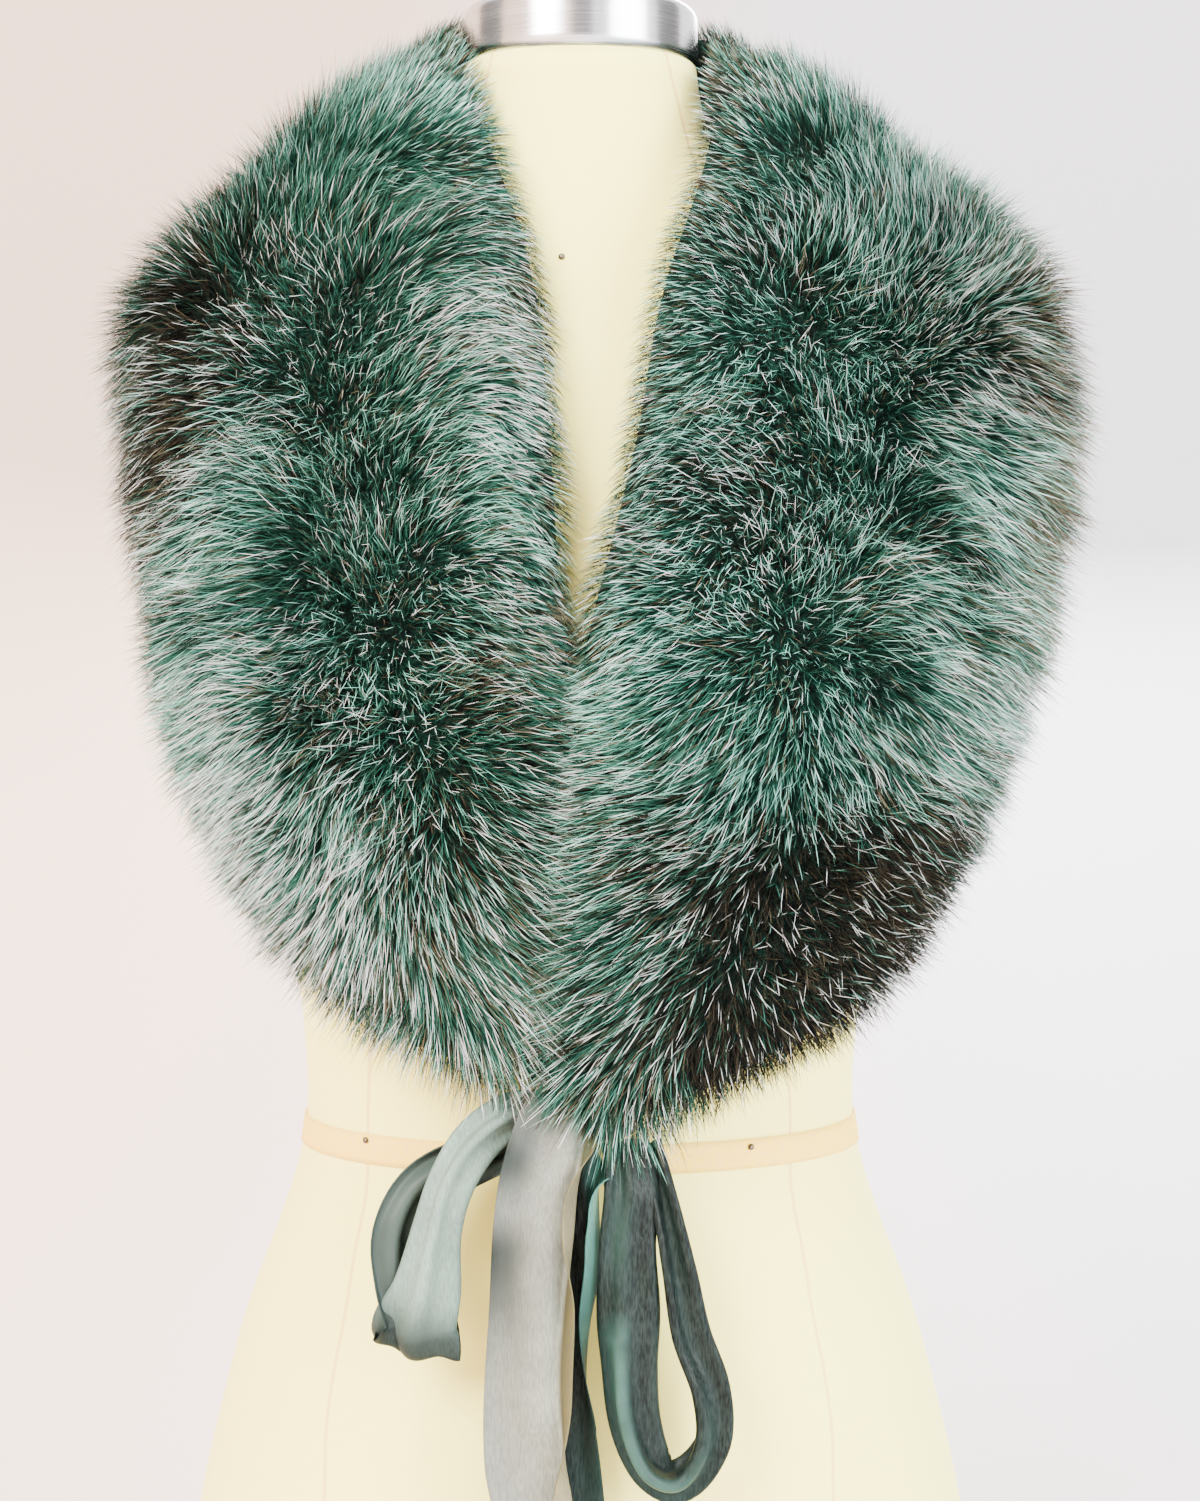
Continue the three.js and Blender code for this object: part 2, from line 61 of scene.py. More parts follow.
def smoothAt(rows, at, ruler=None):
    # rows of a table at places on its ruler column, or on 0..1 where it has none
    rows = np.asarray(rows, float)
    last = len(rows) - 1
    place = np.linspace(0, 1, last + 1) if ruler is None else rows[:, ruler]
    at = np.asarray(at, float)
    i = np.clip(np.searchsorted(place, at, side="right") - 1, 0, last - 1)
    before = np.maximum(np.arange(last + 1) - 1, 0)
    after = np.minimum(np.arange(last + 1) + 1, last)
    slope = (rows[after] - rows[before]) / (place[after] - place[before])[:, None]
    span = (place[i + 1] - place[i])[..., None]
    u = np.clip((at - place[i])[..., None] / span, 0, 1)
    start = rows[i] * (1 + 2 * u) * (1 - u) ** 2 + slope[i] * span * u * (1 - u) ** 2
    end = rows[i + 1] * u * u * (3 - 2 * u) + slope[i + 1] * span * u * u * (u - 1)
    return start + end


def unit(v):
    return v / np.maximum(np.linalg.norm(v, axis=-1, keepdims=True), 1e-9)


def blob(at, centre, radius):
    return np.exp(-np.sum((at - np.asarray(centre, float)) ** 2, axis=-1) / radius ** 2)


def ease(edge0, edge1, at):
    u = np.clip((at - edge0) / (edge1 - edge0), 0, 1)
    return u * u * (3 - 2 * u)


def addObject(name, data):
    obj = bpy.data.objects.new(name, data)
    bpy.context.scene.collection.objects.link(obj)
    return obj


def meshObject(name, points, faces):
    mesh = bpy.data.meshes.new(name)
    mesh.from_pydata([tuple(p) for p in points], [], [tuple(f) for f in faces])
    mesh.update()
    mesh.shade_smooth()
    return addObject(name, mesh)


def gridFaces(rows, columns, closed=False):
    faces = []
    for i in range(rows - 1):
        low, high = i * columns, (i + 1) * columns
        for k in range(columns if closed else columns - 1):
            after = (k + 1) % columns
            faces.append((low + k, low + after, high + after, high + k))
    return faces


def editMesh(mesh, change):
    work = bmesh.new()
    work.from_mesh(mesh)
    change(work)
    work.to_mesh(mesh)
    work.free()


def makeOutward(obj):
    editMesh(obj.data, lambda work: bmesh.ops.recalc_face_normals(work, faces=work.faces))


def addPiece(obj, nodes=()):
    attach(obj, "root")
    if nodes:
        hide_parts(*nodes)


# Node helpers. The owner is a material or a node group.

def feed(owner, socket, value):
    # links another node's socket, or sets a plain value
    if isinstance(value, bpy.types.NodeSocket):
        getattr(owner, "node_tree", owner).links.new(value, socket)
    else:
        socket.default_value = value


def addNode(owner, kind, inputs=(), **settings):
    node = getattr(owner, "node_tree", owner).nodes.new(kind)
    for key, value in settings.items():
        setattr(node, key, value)
    for key, value in dict(inputs).items():
        feed(owner, node.inputs[key], value)
    return node


def addMath(owner, operation, *values):
    return addNode(owner, "ShaderNodeMath", enumerate(values), operation=operation).outputs[0]


def newMaterial(name, values):
    material = bpy.data.materials.new(name)
    material.use_nodes = True
    material.node_tree.nodes.clear()
    shader = addNode(material, "ShaderNodeBsdfPrincipled", values)
    addNode(material, "ShaderNodeOutputMaterial", {"Surface": shader.outputs[0]})
    return material, shader


def colour(text):
    # hex colour as linear RGBA
    channels = [int(text[i:i + 2], 16) / 255 for i in (1, 3, 5)]
    return tuple(c / 12.92 if c <= 0.04045 else ((c + 0.055) / 1.055) ** 2.4 for c in channels) + (1,)


def addRamp(material, source, stops, interpolation="LINEAR"):
    ramp = addNode(material, "ShaderNodeValToRGB", {"Fac": source})
    ramp.color_ramp.interpolation = interpolation
    elements = ramp.color_ramp.elements
    while len(elements) < len(stops):
        elements.new(0.5)
    for element, (place, value) in zip(elements, stops):
        element.position = place
        element.color = colour(value)
    return ramp.outputs["Color"]


def addNoise(material, scale, detail=3.0, stretch=(1, 1, 1)):
    place = addNode(material, "ShaderNodeTexCoord").outputs["Object"]
    mapping = addNode(material, "ShaderNodeMapping", {"Vector": place, "Scale": stretch})
    return addNode(material, "ShaderNodeTexNoise",
                   {"Vector": mapping.outputs[0], "Scale": scale, "Detail": detail}).outputs["Fac"]


def addRange(material, value, low, high, toLow=0, toHigh=1, interpolation="SMOOTHSTEP"):
    return addNode(material, "ShaderNodeMapRange", interpolation_type=interpolation, inputs={
        "Value": value, "From Min": low, "From Max": high, "To Min": toLow, "To Max": toHigh}).outputs[0]


def addMix(material, factor, a, b, blend="MIX"):
    return addNode(material, "ShaderNodeMix", {0: factor, 6: a, 7: b}, data_type="RGBA",
                   blend_type=blend).outputs[2]


def addBump(material, shader, height, strength, distance):
    bump = addNode(material, "ShaderNodeBump", {"Height": height, "Strength": strength, "Distance": distance})
    feed(material, shader.inputs["Normal"], bump.outputs["Normal"])


def axesOf(material, mapName=None):
    # X, Y and Z of a map where one is named, or else of the object's own coordinates
    if mapName:
        place = addNode(material, "ShaderNodeUVMap", uv_map=mapName).outputs[0]
    else:
        place = addNode(material, "ShaderNodeTexCoord").outputs["Object"]
    return addNode(material, "ShaderNodeSeparateXYZ", {0: place}).outputs


# Camera, floor and light

cameraAt = {"y": -1.138, "x": 0.0086, "z": 0.504, "pitch": -2.14, "lens": 63.03, "film": 36}
studio = {
    # painted light on the paper: warmer on the left, cooler on the right, and darker low down, for how the
    # lamps fall on it
    "warmLitPaper": "#ffdfca",
    "coolLitPaper": "#f0f2f8",
    "lowShadedPaper": "#dadada",
    "paperTurn": 0.9,
    "paperRise": 0.5,
    "bowlRadius": 6.5,
    "bowlHeight": 5.0,
    "bend": 5.0,
    # dark boards, as name, place, width, height and colour
    "cards": [("front_card", (0.1, -2.5, 1.35), 0.9, 1.8, "#202022"),
              ("left_card", (-2.6, 0.3, 1.2), 1.6, 2.4, "#3a3633"),
              ("right_card", (2.6, 0.3, 1.2), 1.6, 2.4, "#343638")],
    "cardsFace": (0, 0, 0.8),
    # lamps, as name, place, size, power and colour
    "lamps": [("key_light", (-1.7, -2.6, 2.3), 1.8, 470, (1, 0.985, 0.96)),
              ("fill_light", (2.4, -2.2, 1.3), 2.2, 330, (0.97, 0.985, 1)),
              ("top_light", (0, 0.6, 3.4), 2.4, 220, (1, 1, 1)),
              ("back_light", (0.6, 3.2, 2.2), 2.2, 330, (1, 0.98, 0.97))],
    "lampsFace": (0, 0, 0.5),
    "worldLight": 2.55,
    "worldColour": (1, 0.97, 0.965, 1),
}


def addCamera():
    camera = addObject("camera", bpy.data.cameras.new("camera"))
    camera.location = (cameraAt["x"], cameraAt["y"], cameraAt["z"])
    camera.rotation_euler = (math.radians(90 + cameraAt["pitch"]), 0, 0)
    camera.data.sensor_fit = "VERTICAL"
    camera.data.sensor_height = cameraAt["film"]
    camera.data.lens = cameraAt["lens"]
    camera.data.clip_start = 0.05
    camera.data.clip_end = 40
    bpy.context.scene.camera = camera


def studioBowl():
    # a round floor that turns up softly into a wall
    radius, bend, height = studio["bowlRadius"], studio["bend"], studio["bowlHeight"]
    profile = [(r * (radius - bend), 0) for r in np.linspace(0, 1, 12)[1:]]
    for turn in np.linspace(0, math.pi / 2, 14)[1:]:
        profile.append((radius - bend + bend * math.sin(turn), bend - bend * math.cos(turn)))
    profile.append((radius, height))
    steps = 72
    turns = [2 * math.pi * k / steps for k in range(steps)]
    points = [(r * math.cos(turn), r * math.sin(turn), z) for r, z in profile for turn in turns]
    middle = len(points)
    points.append((0, 0, 0))
    faces = [tuple(reversed(face)) for face in gridFaces(len(profile), steps, closed=True)]
    faces += [(middle, k, (k + 1) % steps) for k in range(steps)]
    bowl = meshObject("studio_floor", points, faces)
    material, shader = newMaterial("studioPaper", {"Roughness": 0.9, "Specular IOR Level": 0.1})
    axes = axesOf(material)
    # painted light: the paper turns from warm on the left to cool on the right and darkens toward the floor
    paper = addRamp(material, addMath(material, "MULTIPLY_ADD", axes["X"], studio["paperTurn"], 0.5),
                    [(0, studio["warmLitPaper"]), (1, studio["coolLitPaper"])])
    fade = addRamp(material, addMath(material, "MULTIPLY", axes["Z"], studio["paperRise"]),
                   [(0, studio["lowShadedPaper"]), (1, "#ffffff")])
    feed(material, shader.inputs["Base Color"], addMix(material, 1.0, paper, fade, "MULTIPLY"))
    bowl.data.materials.append(material)


def turnTo(place, target):
    return (Vector(target) - Vector(place)).to_track_quat("-Z", "Y")


def addLamp(name, place, size, power, tint):
    light = bpy.data.lights.new(name, "AREA")
    light.shape = "DISK"
    light.size = size
    light.energy = power
    light.color = tint
    lamp = addObject(name, light)
    lamp.location = place
    lamp.rotation_euler = turnTo(place, studio["lampsFace"]).to_euler()
    lamp.visible_camera = False


def glossCard(name, place, width, height, tone):
    # a dark board that shows in the metal alone
    half, tall = width / 2, height / 2
    corners = [(-half, -tall, 0), (half, -tall, 0), (half, tall, 0), (-half, tall, 0)]
    card = meshObject(name, corners, [(0, 1, 2, 3)])
    turned = turnTo(place, studio["cardsFace"]).to_matrix().to_4x4()
    turned.translation = Vector(place)
    card.data.transform(turned)
    card.data.materials.append(newMaterial(name + "Board", {"Base Color": colour(tone)})[0])
    card.visible_camera = False
    card.visible_diffuse = False
    card.visible_shadow = False


def buildStudio():
    addCamera()
    studioBowl()
    for card in studio["cards"]:
        glossCard(*card)
    for lamp in studio["lamps"]:
        addLamp(*lamp)
    world = bpy.data.worlds.new("studioAir")
    world.use_nodes = True
    background = world.node_tree.nodes["Background"]
    background.inputs["Color"].default_value = studio["worldColour"]
    background.inputs["Strength"].default_value = studio["worldLight"]
    bpy.context.scene.world = world


buildStudio()
print("studio ready")


# Dress form. Lengths are in metres.

form = {
    "cloth": "#fffb8a",
    "clothWarm": "#fdf27c",
    "thread": (0.55, 0.45, 0.3, 1),
    "weaveScale": 900,
    "weaveStretch": 0.12,
    "weaveShade": 0.09,
    "weaveHeight": 0.25,
    "seam": "#e6cb72",
    "seamFrom": 0.0001,
    "seamTo": 0.0011,
    "seamDepth": 0.0004,
    "tape": "#ffd628",
    "tapeRib": "#f0c766",
    "ribScale": 1300,
    "metal": ("#b9bcbf", "#e6e8ea"),
    "lineScale": 260,
    "smearScale": 30,
    "smearShare": 0.25,
    "metalRough": (0.2, 0.32),
    "pinMetal": ("#4a4038", "#7d7468"),
    "pinRadius": 0.0014,
    "pinBulge": 0.8,
    # x, height, and how far the head stands off the torso
    "pins": [(-0.0867, 0.3035, 0.0017), (0.0693, 0.3028, 0.0017), (-0.0070, 0.665, 0.0002)],
    # where the side seam of the front panel runs, as height and distance from the middle
    "panelSeam": [(0, 0.103), (0.1, 0.105), (0.162, 0.104), (0.186, 0.1035), (0.209, 0.1005), (0.232, 0.096),
                  (0.258, 0.092), (0.283, 0.0874), (0.317, 0.0868), (0.37, 0.084), (0.43, 0.082),
                  (0.5, 0.079), (0.57, 0.074), (0.64, 0.068), (0.7, 0.05), (0.753, 0.036)],
    # corners sharper than this many degrees stay sharp
    "torsoSharp": 50,
    "trimSharp": 40,
}


def nodeCopy(node, name):
    # the CAD solid's own surface, joined into quads
    def joinUp(work):
        bmesh.ops.remove_doubles(work, verts=work.verts, dist=1e-6)
        bmesh.ops.join_triangles(work, faces=work.faces, angle_face_threshold=0.7, angle_shape_threshold=0.7)

    source = next(o for o in bpy.data.objects if o.type == "MESH" and o.name == node)
    copy = addObject(name, source.data.copy())
    copy.data.materials.clear()
    editMesh(copy.data, joinUp)
    copy.data.shade_smooth()
    return copy


def smoothSides(obj, sharp):
    # two subdivisions, with a full crease on every sharp edge
    def crease(work):
        layer = work.edges.layers.float.new("crease_edge")
        for edge in work.edges:
            if len(edge.link_faces) == 2 and edge.calc_face_angle(0) > math.radians(sharp):
                edge[layer] = 1

    editMesh(obj.data, crease)
    modifier = obj.modifiers.new("smooth", "SUBSURF")
    modifier.levels = modifier.render_levels = 2


def linenMaterial():
    material, shader = newMaterial(
        "creamLinen", {"Roughness": 0.86, "Sheen Weight": 0.15, "Specular IOR Level": 0.25})
    axes = axesOf(material)
    curve = addNode(material, "ShaderNodeFloatCurve", {"Value": axes["Z"]})
    points = curve.mapping.curves[0].points
    for z, x in form["panelSeam"][1:-1]:
        points.new(z, x)
    for point, (z, x) in zip(points, form["panelSeam"]):
        point.location = (z, x)
    curve.mapping.update()
    away = addMath(material, "SUBTRACT", addMath(material, "ABSOLUTE", axes["X"]), curve.outputs[0])
    cloth = addRange(material, addMath(material, "ABSOLUTE", away), form["seamFrom"], form["seamTo"])
    thin = form["weaveStretch"]
    weave = addMath(material, "ADD", addNoise(material, form["weaveScale"], 2.0, (1, 1, thin)),
                    addNoise(material, form["weaveScale"], 2.0, (thin, thin, 1)))
    warm = addMix(material, addNoise(material, 7, 2.0), colour(form["cloth"]), colour(form["clothWarm"]))
    shaded = addMix(material, addMath(material, "MULTIPLY", weave, form["weaveShade"]), warm, form["thread"])
    seamed = addMix(material, cloth, colour(form["seam"]), shaded)
    feed(material, shader.inputs["Base Color"], seamed)
    height = addMath(material, "ADD", addMath(material, "MULTIPLY", weave, form["weaveHeight"]), cloth)
    addBump(material, shader, height, 0.35, form["seamDepth"])
    return material


def tapeMaterial():
    material, shader = newMaterial("peachTape", {"Roughness": 0.8})
    ribs = addNoise(material, form["ribScale"], 1.0, (0.3, 0.3, 1))
    feed(material, shader.inputs["Base Color"],
         addRamp(material, ribs, [(0.3, form["tapeRib"]), (0.7, form["tape"])]))
    addBump(material, shader, ribs, 0.3, 0.0002)
    return material


def brushedMaterial():
    # brushed round the neck: fine lines that change with height alone
    material, shader = newMaterial(
        "brushedAluminium", {"Metallic": 1, "Anisotropic": 0.8, "Anisotropic Rotation": 0.25})
    lines = addNoise(material, form["lineScale"], 6.0, (0.06, 0.06, 9))
    smears = addNoise(material, form["smearScale"], 2.0, (1, 1, 0.5))
    both = addMath(material, "ADD", addMath(material, "MULTIPLY", lines, 1 - form["smearShare"]),
                   addMath(material, "MULTIPLY", smears, form["smearShare"]))
    feed(material, shader.inputs["Base Color"], addRamp(material, both, list(zip((0.3, 0.7), form["metal"]))))
    feed(material, shader.inputs["Roughness"],
         addRange(material, lines, 0, 1, *form["metalRough"], interpolation="LINEAR"))
    addBump(material, shader, lines, 0.12, 0.0002)
    return material


def pinMaterial():
    material, shader = newMaterial("darkSteelPin", {"Metallic": 1, "Roughness": 0.35})
    worn = addNoise(material, 2500, 2.0)
    feed(material, shader.inputs["Base Color"],
         addRamp(material, worn, list(zip((0.35, 0.7), form["pinMetal"]))))
    return material


def pinHead(tree, x, z, lift, rings=5, around=12):
    # a low dome on the torso, as points and faces that count from 0
    hit, normal, _, _ = tree.ray_cast(Vector((x, -1, z)), Vector((0, 1, 0)))
    side = normal.cross(Vector((0, 0, 1))).normalized()
    up = side.cross(normal)
    radius, bulge = form["pinRadius"], form["pinRadius"] * form["pinBulge"]
    points = []
    for i in range(rings):
        bend = math.radians(90 * i / rings)
        for k in range(around):
            turn = 2 * math.pi * k / around
            flat = (side * math.cos(turn) + up * math.sin(turn)) * radius * math.cos(bend)
            points.append(hit + normal * (lift + bulge * math.sin(bend)) + flat)
    points.append(hit + normal * (lift + bulge))
    last = (rings - 1) * around
    faces = gridFaces(rings, around, closed=True)
    faces += [(last + k, last + (k + 1) % around, len(points) - 1) for k in range(around)]
    faces.append(tuple(reversed(range(around))))
    return points, faces


def buildForm():
    parts = [("form_torso", "_cloth", form["torsoSharp"], linenMaterial(), "form_linen"),
             ("form_waist_tape", "_band", form["trimSharp"], tapeMaterial(), "waist_tape"),
             ("form_neck_cap", "_metal", form["trimSharp"], brushedMaterial(), "neck_metal")]
    for node, ending, sharp, material, slot in parts:
        piece = nodeCopy(node, node + ending)
        smoothSides(piece, sharp)
        piece.data.materials.append(material)
        addPiece(piece, [node])
    torso = bpy.data.objects["form_torso_cloth"]
    tree = BVHTree.FromObject(torso, bpy.context.evaluated_depsgraph_get())
    points, faces = [], []
    for pin in form["pins"]:
        headPoints, headFaces = pinHead(tree, *pin)
        faces += [tuple(len(points) + v for v in face) for face in headFaces]
        points += headPoints
    pins = meshObject("form_pins", points, faces)
    makeOutward(pins)
    pins.data.materials.append(pinMaterial())
    addPiece(pins)


buildForm()
print("dress form ready")


# Fur collar. Lengths in the tables are in millimetres and angles in degrees.

seat = {
    "squareness": 2.15,
    "bust": {"height": 478, "azimuth": 27, "rise": 13, "spreadHeight": 46, "spreadAzimuth": 22},
    # height, half width, depth to the front, depth to the back
    "rows": [
        (290, 124, 93, 88), (336, 124, 94, 88), (371, 128, 99, 91), (415, 136, 108, 97), (455, 145, 119, 103),
        (495, 151, 120, 108), (540, 155, 111, 111), (590, 160, 96, 111), (622, 160.6, 84, 105),
        (643, 155.4, 76, 97), (662, 136, 70, 87), (680, 112, 66, 77), (700, 97, 62, 74), (720, 76, 58, 66),
        (740, 60, 55, 59), (762, 57, 57, 57), (790, 58, 58, 58)],
}

# inner azimuth, inner height, outer azimuth, outer height, pile, lift, from the front tip to the back
leftHalf = {
    "side": "left",
    "hand": -1,
    "rows": [
        (9, 345, 15, 344, 9, 15), (7, 355, 30, 354, 21, 13), (5.6, 376, 46, 371, 32, 9),
        (4.6, 402, 58, 388, 38, 5), (3.8, 429, 67, 410, 41, 2), (2.6, 459, 74, 432, 42, 0),
        (1.8, 491, 80, 456, 43, 0), (3.6, 528, 85, 480, 43, 0), (5.5, 570, 90, 503, 43, 0),
        (8.5, 612, 95, 522, 43, 0), (14, 652, 100, 537, 42, 0), (27, 696, 106, 548, 42, 0),
        (48, 736, 114, 556, 41, 0), (80, 762, 126, 562, 40, 0), (118, 774, 144, 566, 40, 0),
        (150, 777, 162, 568, 41, 0), (180, 778, 180, 568, 42, 0)],
    # where the pile parts: place from the tip to the back, depth, and spread
    "partings": [(0.17, 5, 0.035), (0.33, 5, 0.04), (0.52, 4, 0.04), (0.7, 4, 0.035), (0.87, 4, 0.04)],
    # where the fur opens and lies away on all sides, as x and height, and how wide
    "whorls": [(-105, 630, 42), (-79, 539, 48), (-56, 455, 40)],
    # patches of colour on the front, as x, height, radius and strength
    "dark": [(-150, 590, 40, 0.35), (-122, 640, 34, 0.7), (-98, 650, 28, 0.35), (-172, 520, 36, 0.3),
             (-182, 580, 40, 0.25), (-75, 540, 34, 0.3), (-62, 452, 26, 0.4), (-165, 640, 30, 0.35)],
    "frost": [(-35, 635, 42, 0.4), (-125, 450, 60, 0.35), (-25, 390, 40, 0.25), (-60, 620, 40, 0.15),
              (-100, 400, 50, 0.4), (-30, 560, 40, 0.12), (-174, 580, 44, 0.8)],
    # where the dark green wool shows between few pale hairs
    "green": [(-94, 672, 42, 1.5), (-100, 630, 28, 0.7), (-86, 544, 34, 0.8), (-58, 460, 20, 0.6),
              (-120, 530, 20, 0.5)],
    "mint": [(-100, 718, 40, 1.2), (-70, 600, 60, 0.5), (-115, 560, 40, 0.4), (-95, 480, 50, 0.4)],
    "warm": [(-178, 590, 46, 0.4), (-20, 660, 30, 0.35), (-40, 520, 30, 0.15), (-35, 380, 40, 0.25)],
}
rightHalf = {
    "side": "right",
    "hand": 1,
    "rows": [
        (2, 325, 12, 324, 9, 17), (-5.5, 338, 27, 335, 21, 17), (-5, 358, 42, 350, 33, 15),
        (-4.2, 380, 56, 368, 41, 11), (-3.4, 407, 67, 389, 45, 7), (-2.2, 436, 75, 412, 47, 5),
        (-0.6, 468, 81, 437, 48, 4), (1.6, 503, 86, 463, 49, 4), (6.5, 543, 91, 488, 51, 6),
        (13.5, 588, 96, 510, 53, 7), (21, 632, 101, 529, 53, 8), (33, 674, 107, 543, 51, 8),
        (53, 726, 115, 553, 48, 6), (83, 759, 127, 560, 45, 3), (118, 773, 144, 565, 43, 1.5),
        (150, 777, 162, 568, 42, 0), (180, 778, 180, 568, 42, 0)],
    "partings": [(0.14, 5, 0.035), (0.29, 1.5, 0.035), (0.45, 2.5, 0.04), (0.6, 2.5, 0.035),
                 (0.76, 4, 0.035), (0.9, 5, 0.04)],
    "whorls": [(77, 638, 46), (73, 527, 50), (85, 395, 44)],
    "dark": [(85, 392, 46, 1.0), (120, 420, 34, 0.9), (60, 350, 34, 0.75), (75, 530, 30, 0.3),
             (78, 640, 30, 0.3), (40, 420, 22, 0.3), (72, 574, 34, 0.35), (70, 715, 30, 0.3),
             (196, 620, 20, 0.4), (194, 560, 20, 0.4), (158, 640, 46, -0.5)],
    "frost": [(15, 350, 30, 0.15), (150, 480, 40, 0.3), (190, 620, 30, 0.3), (190, 560, 28, 0.25),
              (40, 560, 40, 0.15), (20, 430, 36, 0.3), (120, 340, 60, 0.3), (158, 640, 40, 0.4)],
    "green": [(86, 697, 24, 0.8), (82, 618, 32, 0.7), (62, 491, 28, 0.8), (28, 400, 26, 0.6),
              (84, 566, 20, 0.6)],
    "mint": [(156, 640, 52, 1.5), (120, 665, 50, 0.8), (110, 540, 60, 0.6), (45, 600, 40, 0.6),
             (60, 480, 60, 0.5), (60, 690, 40, 0.6), (120, 590, 60, 0.6)],
    "warm": [(198, 614, 28, 1.5), (192, 664, 22, 1.0), (196, 560, 26, 1.5), (190, 510, 22, 1.0),
             (30, 690, 30, 0.25), (150, 400, 30, 0.2)],
}
fur = {
    "fullness": 2.7,
    "lumpHeight": 1.6,
    "lumpsAlong": 9,
    "lumpsAcross": 2.5,
    "seamGap": 0.3,
    "underfurShare": 0.7,  # how much of the pile's height the dense wool fills
    "sections": 150,
    "across": 40,
    # how the hair lies: toward the tip, to the sides, off the pelt, and down under its own weight
    "tipLean": 0.8,
    "leastLean": 0.25,
    "leanFade": (0.45, 0.0),
    "seamFade": (1.0, 0.75),
    "sideLean": 0.85,
    "sideCurve": 0.7,
    "lift": 0.5,
    "leastLift": 0.12,
    "droop": 0.35,
    "droopDepths": (-60, 30),
    "tipHang": 0.7,
    "tipReach": (0.16, 0.02),
    "collarRise": 0.9,
    "collarHeights": (690, 760),
    "swirl": 0.12,
    "swirlSize": 34,
    # along the opening, between these heights, the hair turns from the neck toward the tip
    "openingHeights": (460, 530, 690, 735),
    "openingShare": (0.35, 0.08),
    "openingTurn": 0.75,
    "openingLean": 0.5,
    "whorlFlat": 0.7,
    "whorlSpread": 0.5,
    "whorlStand": 0.9,
    "whorlDepths": (20, -20),
    "patchDepths": (100, 40),
    # what is cut off the hairs' length along the opening, at the neck, in dark patches and in whorls
    "edgeTrim": 0.5,
    "edgeShare": (0.24, 0.02),
    "edgeHeights": (380, 470),
    "neckTrim": 0.12,
    "neckHeights": (700, 770),
    "darkTrim": 0.3,
    "whorlTrim": 0.12,
    "tipGrowth": 0.25,
    "growthReach": (0.08, 0.0),
    "whorlWild": 0.9,
    "darkWild": 2.2,
    # each tone's mean, how much it wanders, over what size, a seed, and what green patches take away
    "tones": {"dark": (0.16, 0.14, 60, 31, 0.6), "frost": (0.23, 0.12, 48, 37, 0.7),
              "mint": (0.3, 0.18, 55, 41, 0.75), "warm": (0.1, 0.1, 40, 43, 0.7)},
    "frostLost": 0.35,  # to dark patches
    "edgeWarmth": 0.4,
    "edgeReach": (0.75, 1.0),
    # the most that each tone takes of the hairs at a place, and the silver hairs among black ones
    "most": {"dark": 0.92, "warm": 0.6, "frost": 0.85, "mint": 0.8},
    "warmth": 0.7,
    "frostOnDark": 0.8,
    # how the four kinds of hair bend, and how each hair's turn and width vary
    "bends": (0.04, 0.12, 0.22, 0.16),
    "twist": 0.9,
    "widths": (0.65, 1.3),
}
# dense wool, then guard hairs, then the long thin ones: hairs per half, millimetres and degrees;
# blackest and pale say how much of the black and of the pale patches a coat takes on
coats = [
    {"name": "wool", "hairs": 36000, "length": 17, "vary": 0.35, "width": 0.3, "jitter": 0.18, "pull": 0.14,
     "clump": 5, "points": (0, 0.55, 1), "taper": (1, 0.8, 0), "seed": 3, "blackest": 0.95, "pale": 0.1},
    {"name": "guard", "hairs": 50000, "length": 25, "vary": 0.3, "width": 0.25, "jitter": 0.1, "pull": 0.11,
     "clump": 7, "points": (0, 0.6, 1), "taper": (0.9, 1, 0), "seed": 11, "blackest": 1, "pale": 0.42},
    {"name": "tips", "hairs": 42000, "length": 29, "vary": 0.28, "width": 0.23, "jitter": 0.12, "pull": 0.07,
     "clump": 10, "points": (0, 0.6, 1), "taper": (0.8, 1, 0), "seed": 23, "blackest": 0.8, "pale": 0.85},
]
# colours of black, brown, green, mint and silver hairs, at the root, in the middle and at the tip
hairColours = {
    "root": ("#010101", "#070503", "#020a07", "#020e0a", "#030504"),
    "middle": ("#010202", "#1a150e", "#08281f", "#0c362c", "#101715"),
    "tip": ("#060808", "#7a6e56", "#245a4a", "#97e0cc", "#ffffff"),
    "toMiddle": (0, 0.5),
    "toTip": (0.45, 0.92),
}
woolColours = {
    "green": [(0.25, "#020504"), (0.5, "#051a14"), (0.8, "#0b3529")],
    "brown": [(0.25, "#020202"), (0.8, "#0c0b08")],
}


def seatPoint(azimuth, z):
    outline = smoothAt(seat["rows"], z, 0)
    across = np.sin(np.radians(azimuth))
    ahead = np.cos(np.radians(azimuth))
    depth = np.where(ahead > 0, outline[..., 2], outline[..., 3])
    power = seat["squareness"]
    radius = (np.abs(across / outline[..., 1]) ** power + np.abs(ahead / depth) ** power) ** (-1 / power)
    bust = seat["bust"]
    aside = (np.abs((azimuth + 180) % 360 - 180) - bust["azimuth"]) / bust["spreadAzimuth"]
    above = (z - bust["height"]) / bust["spreadHeight"]
    radius = radius + bust["rise"] * np.exp(-aside ** 2 - above ** 2)
    return np.stack([radius * across, -radius * ahead, z], axis=-1)


def seatNormal(azimuth, z):
    step = 1.5
    around = seatPoint(azimuth + step, z) - seatPoint(azimuth - step, z)
    upward = seatPoint(azimuth, z + step) - seatPoint(azimuth, z - step)
    return unit(np.cross(around, upward))


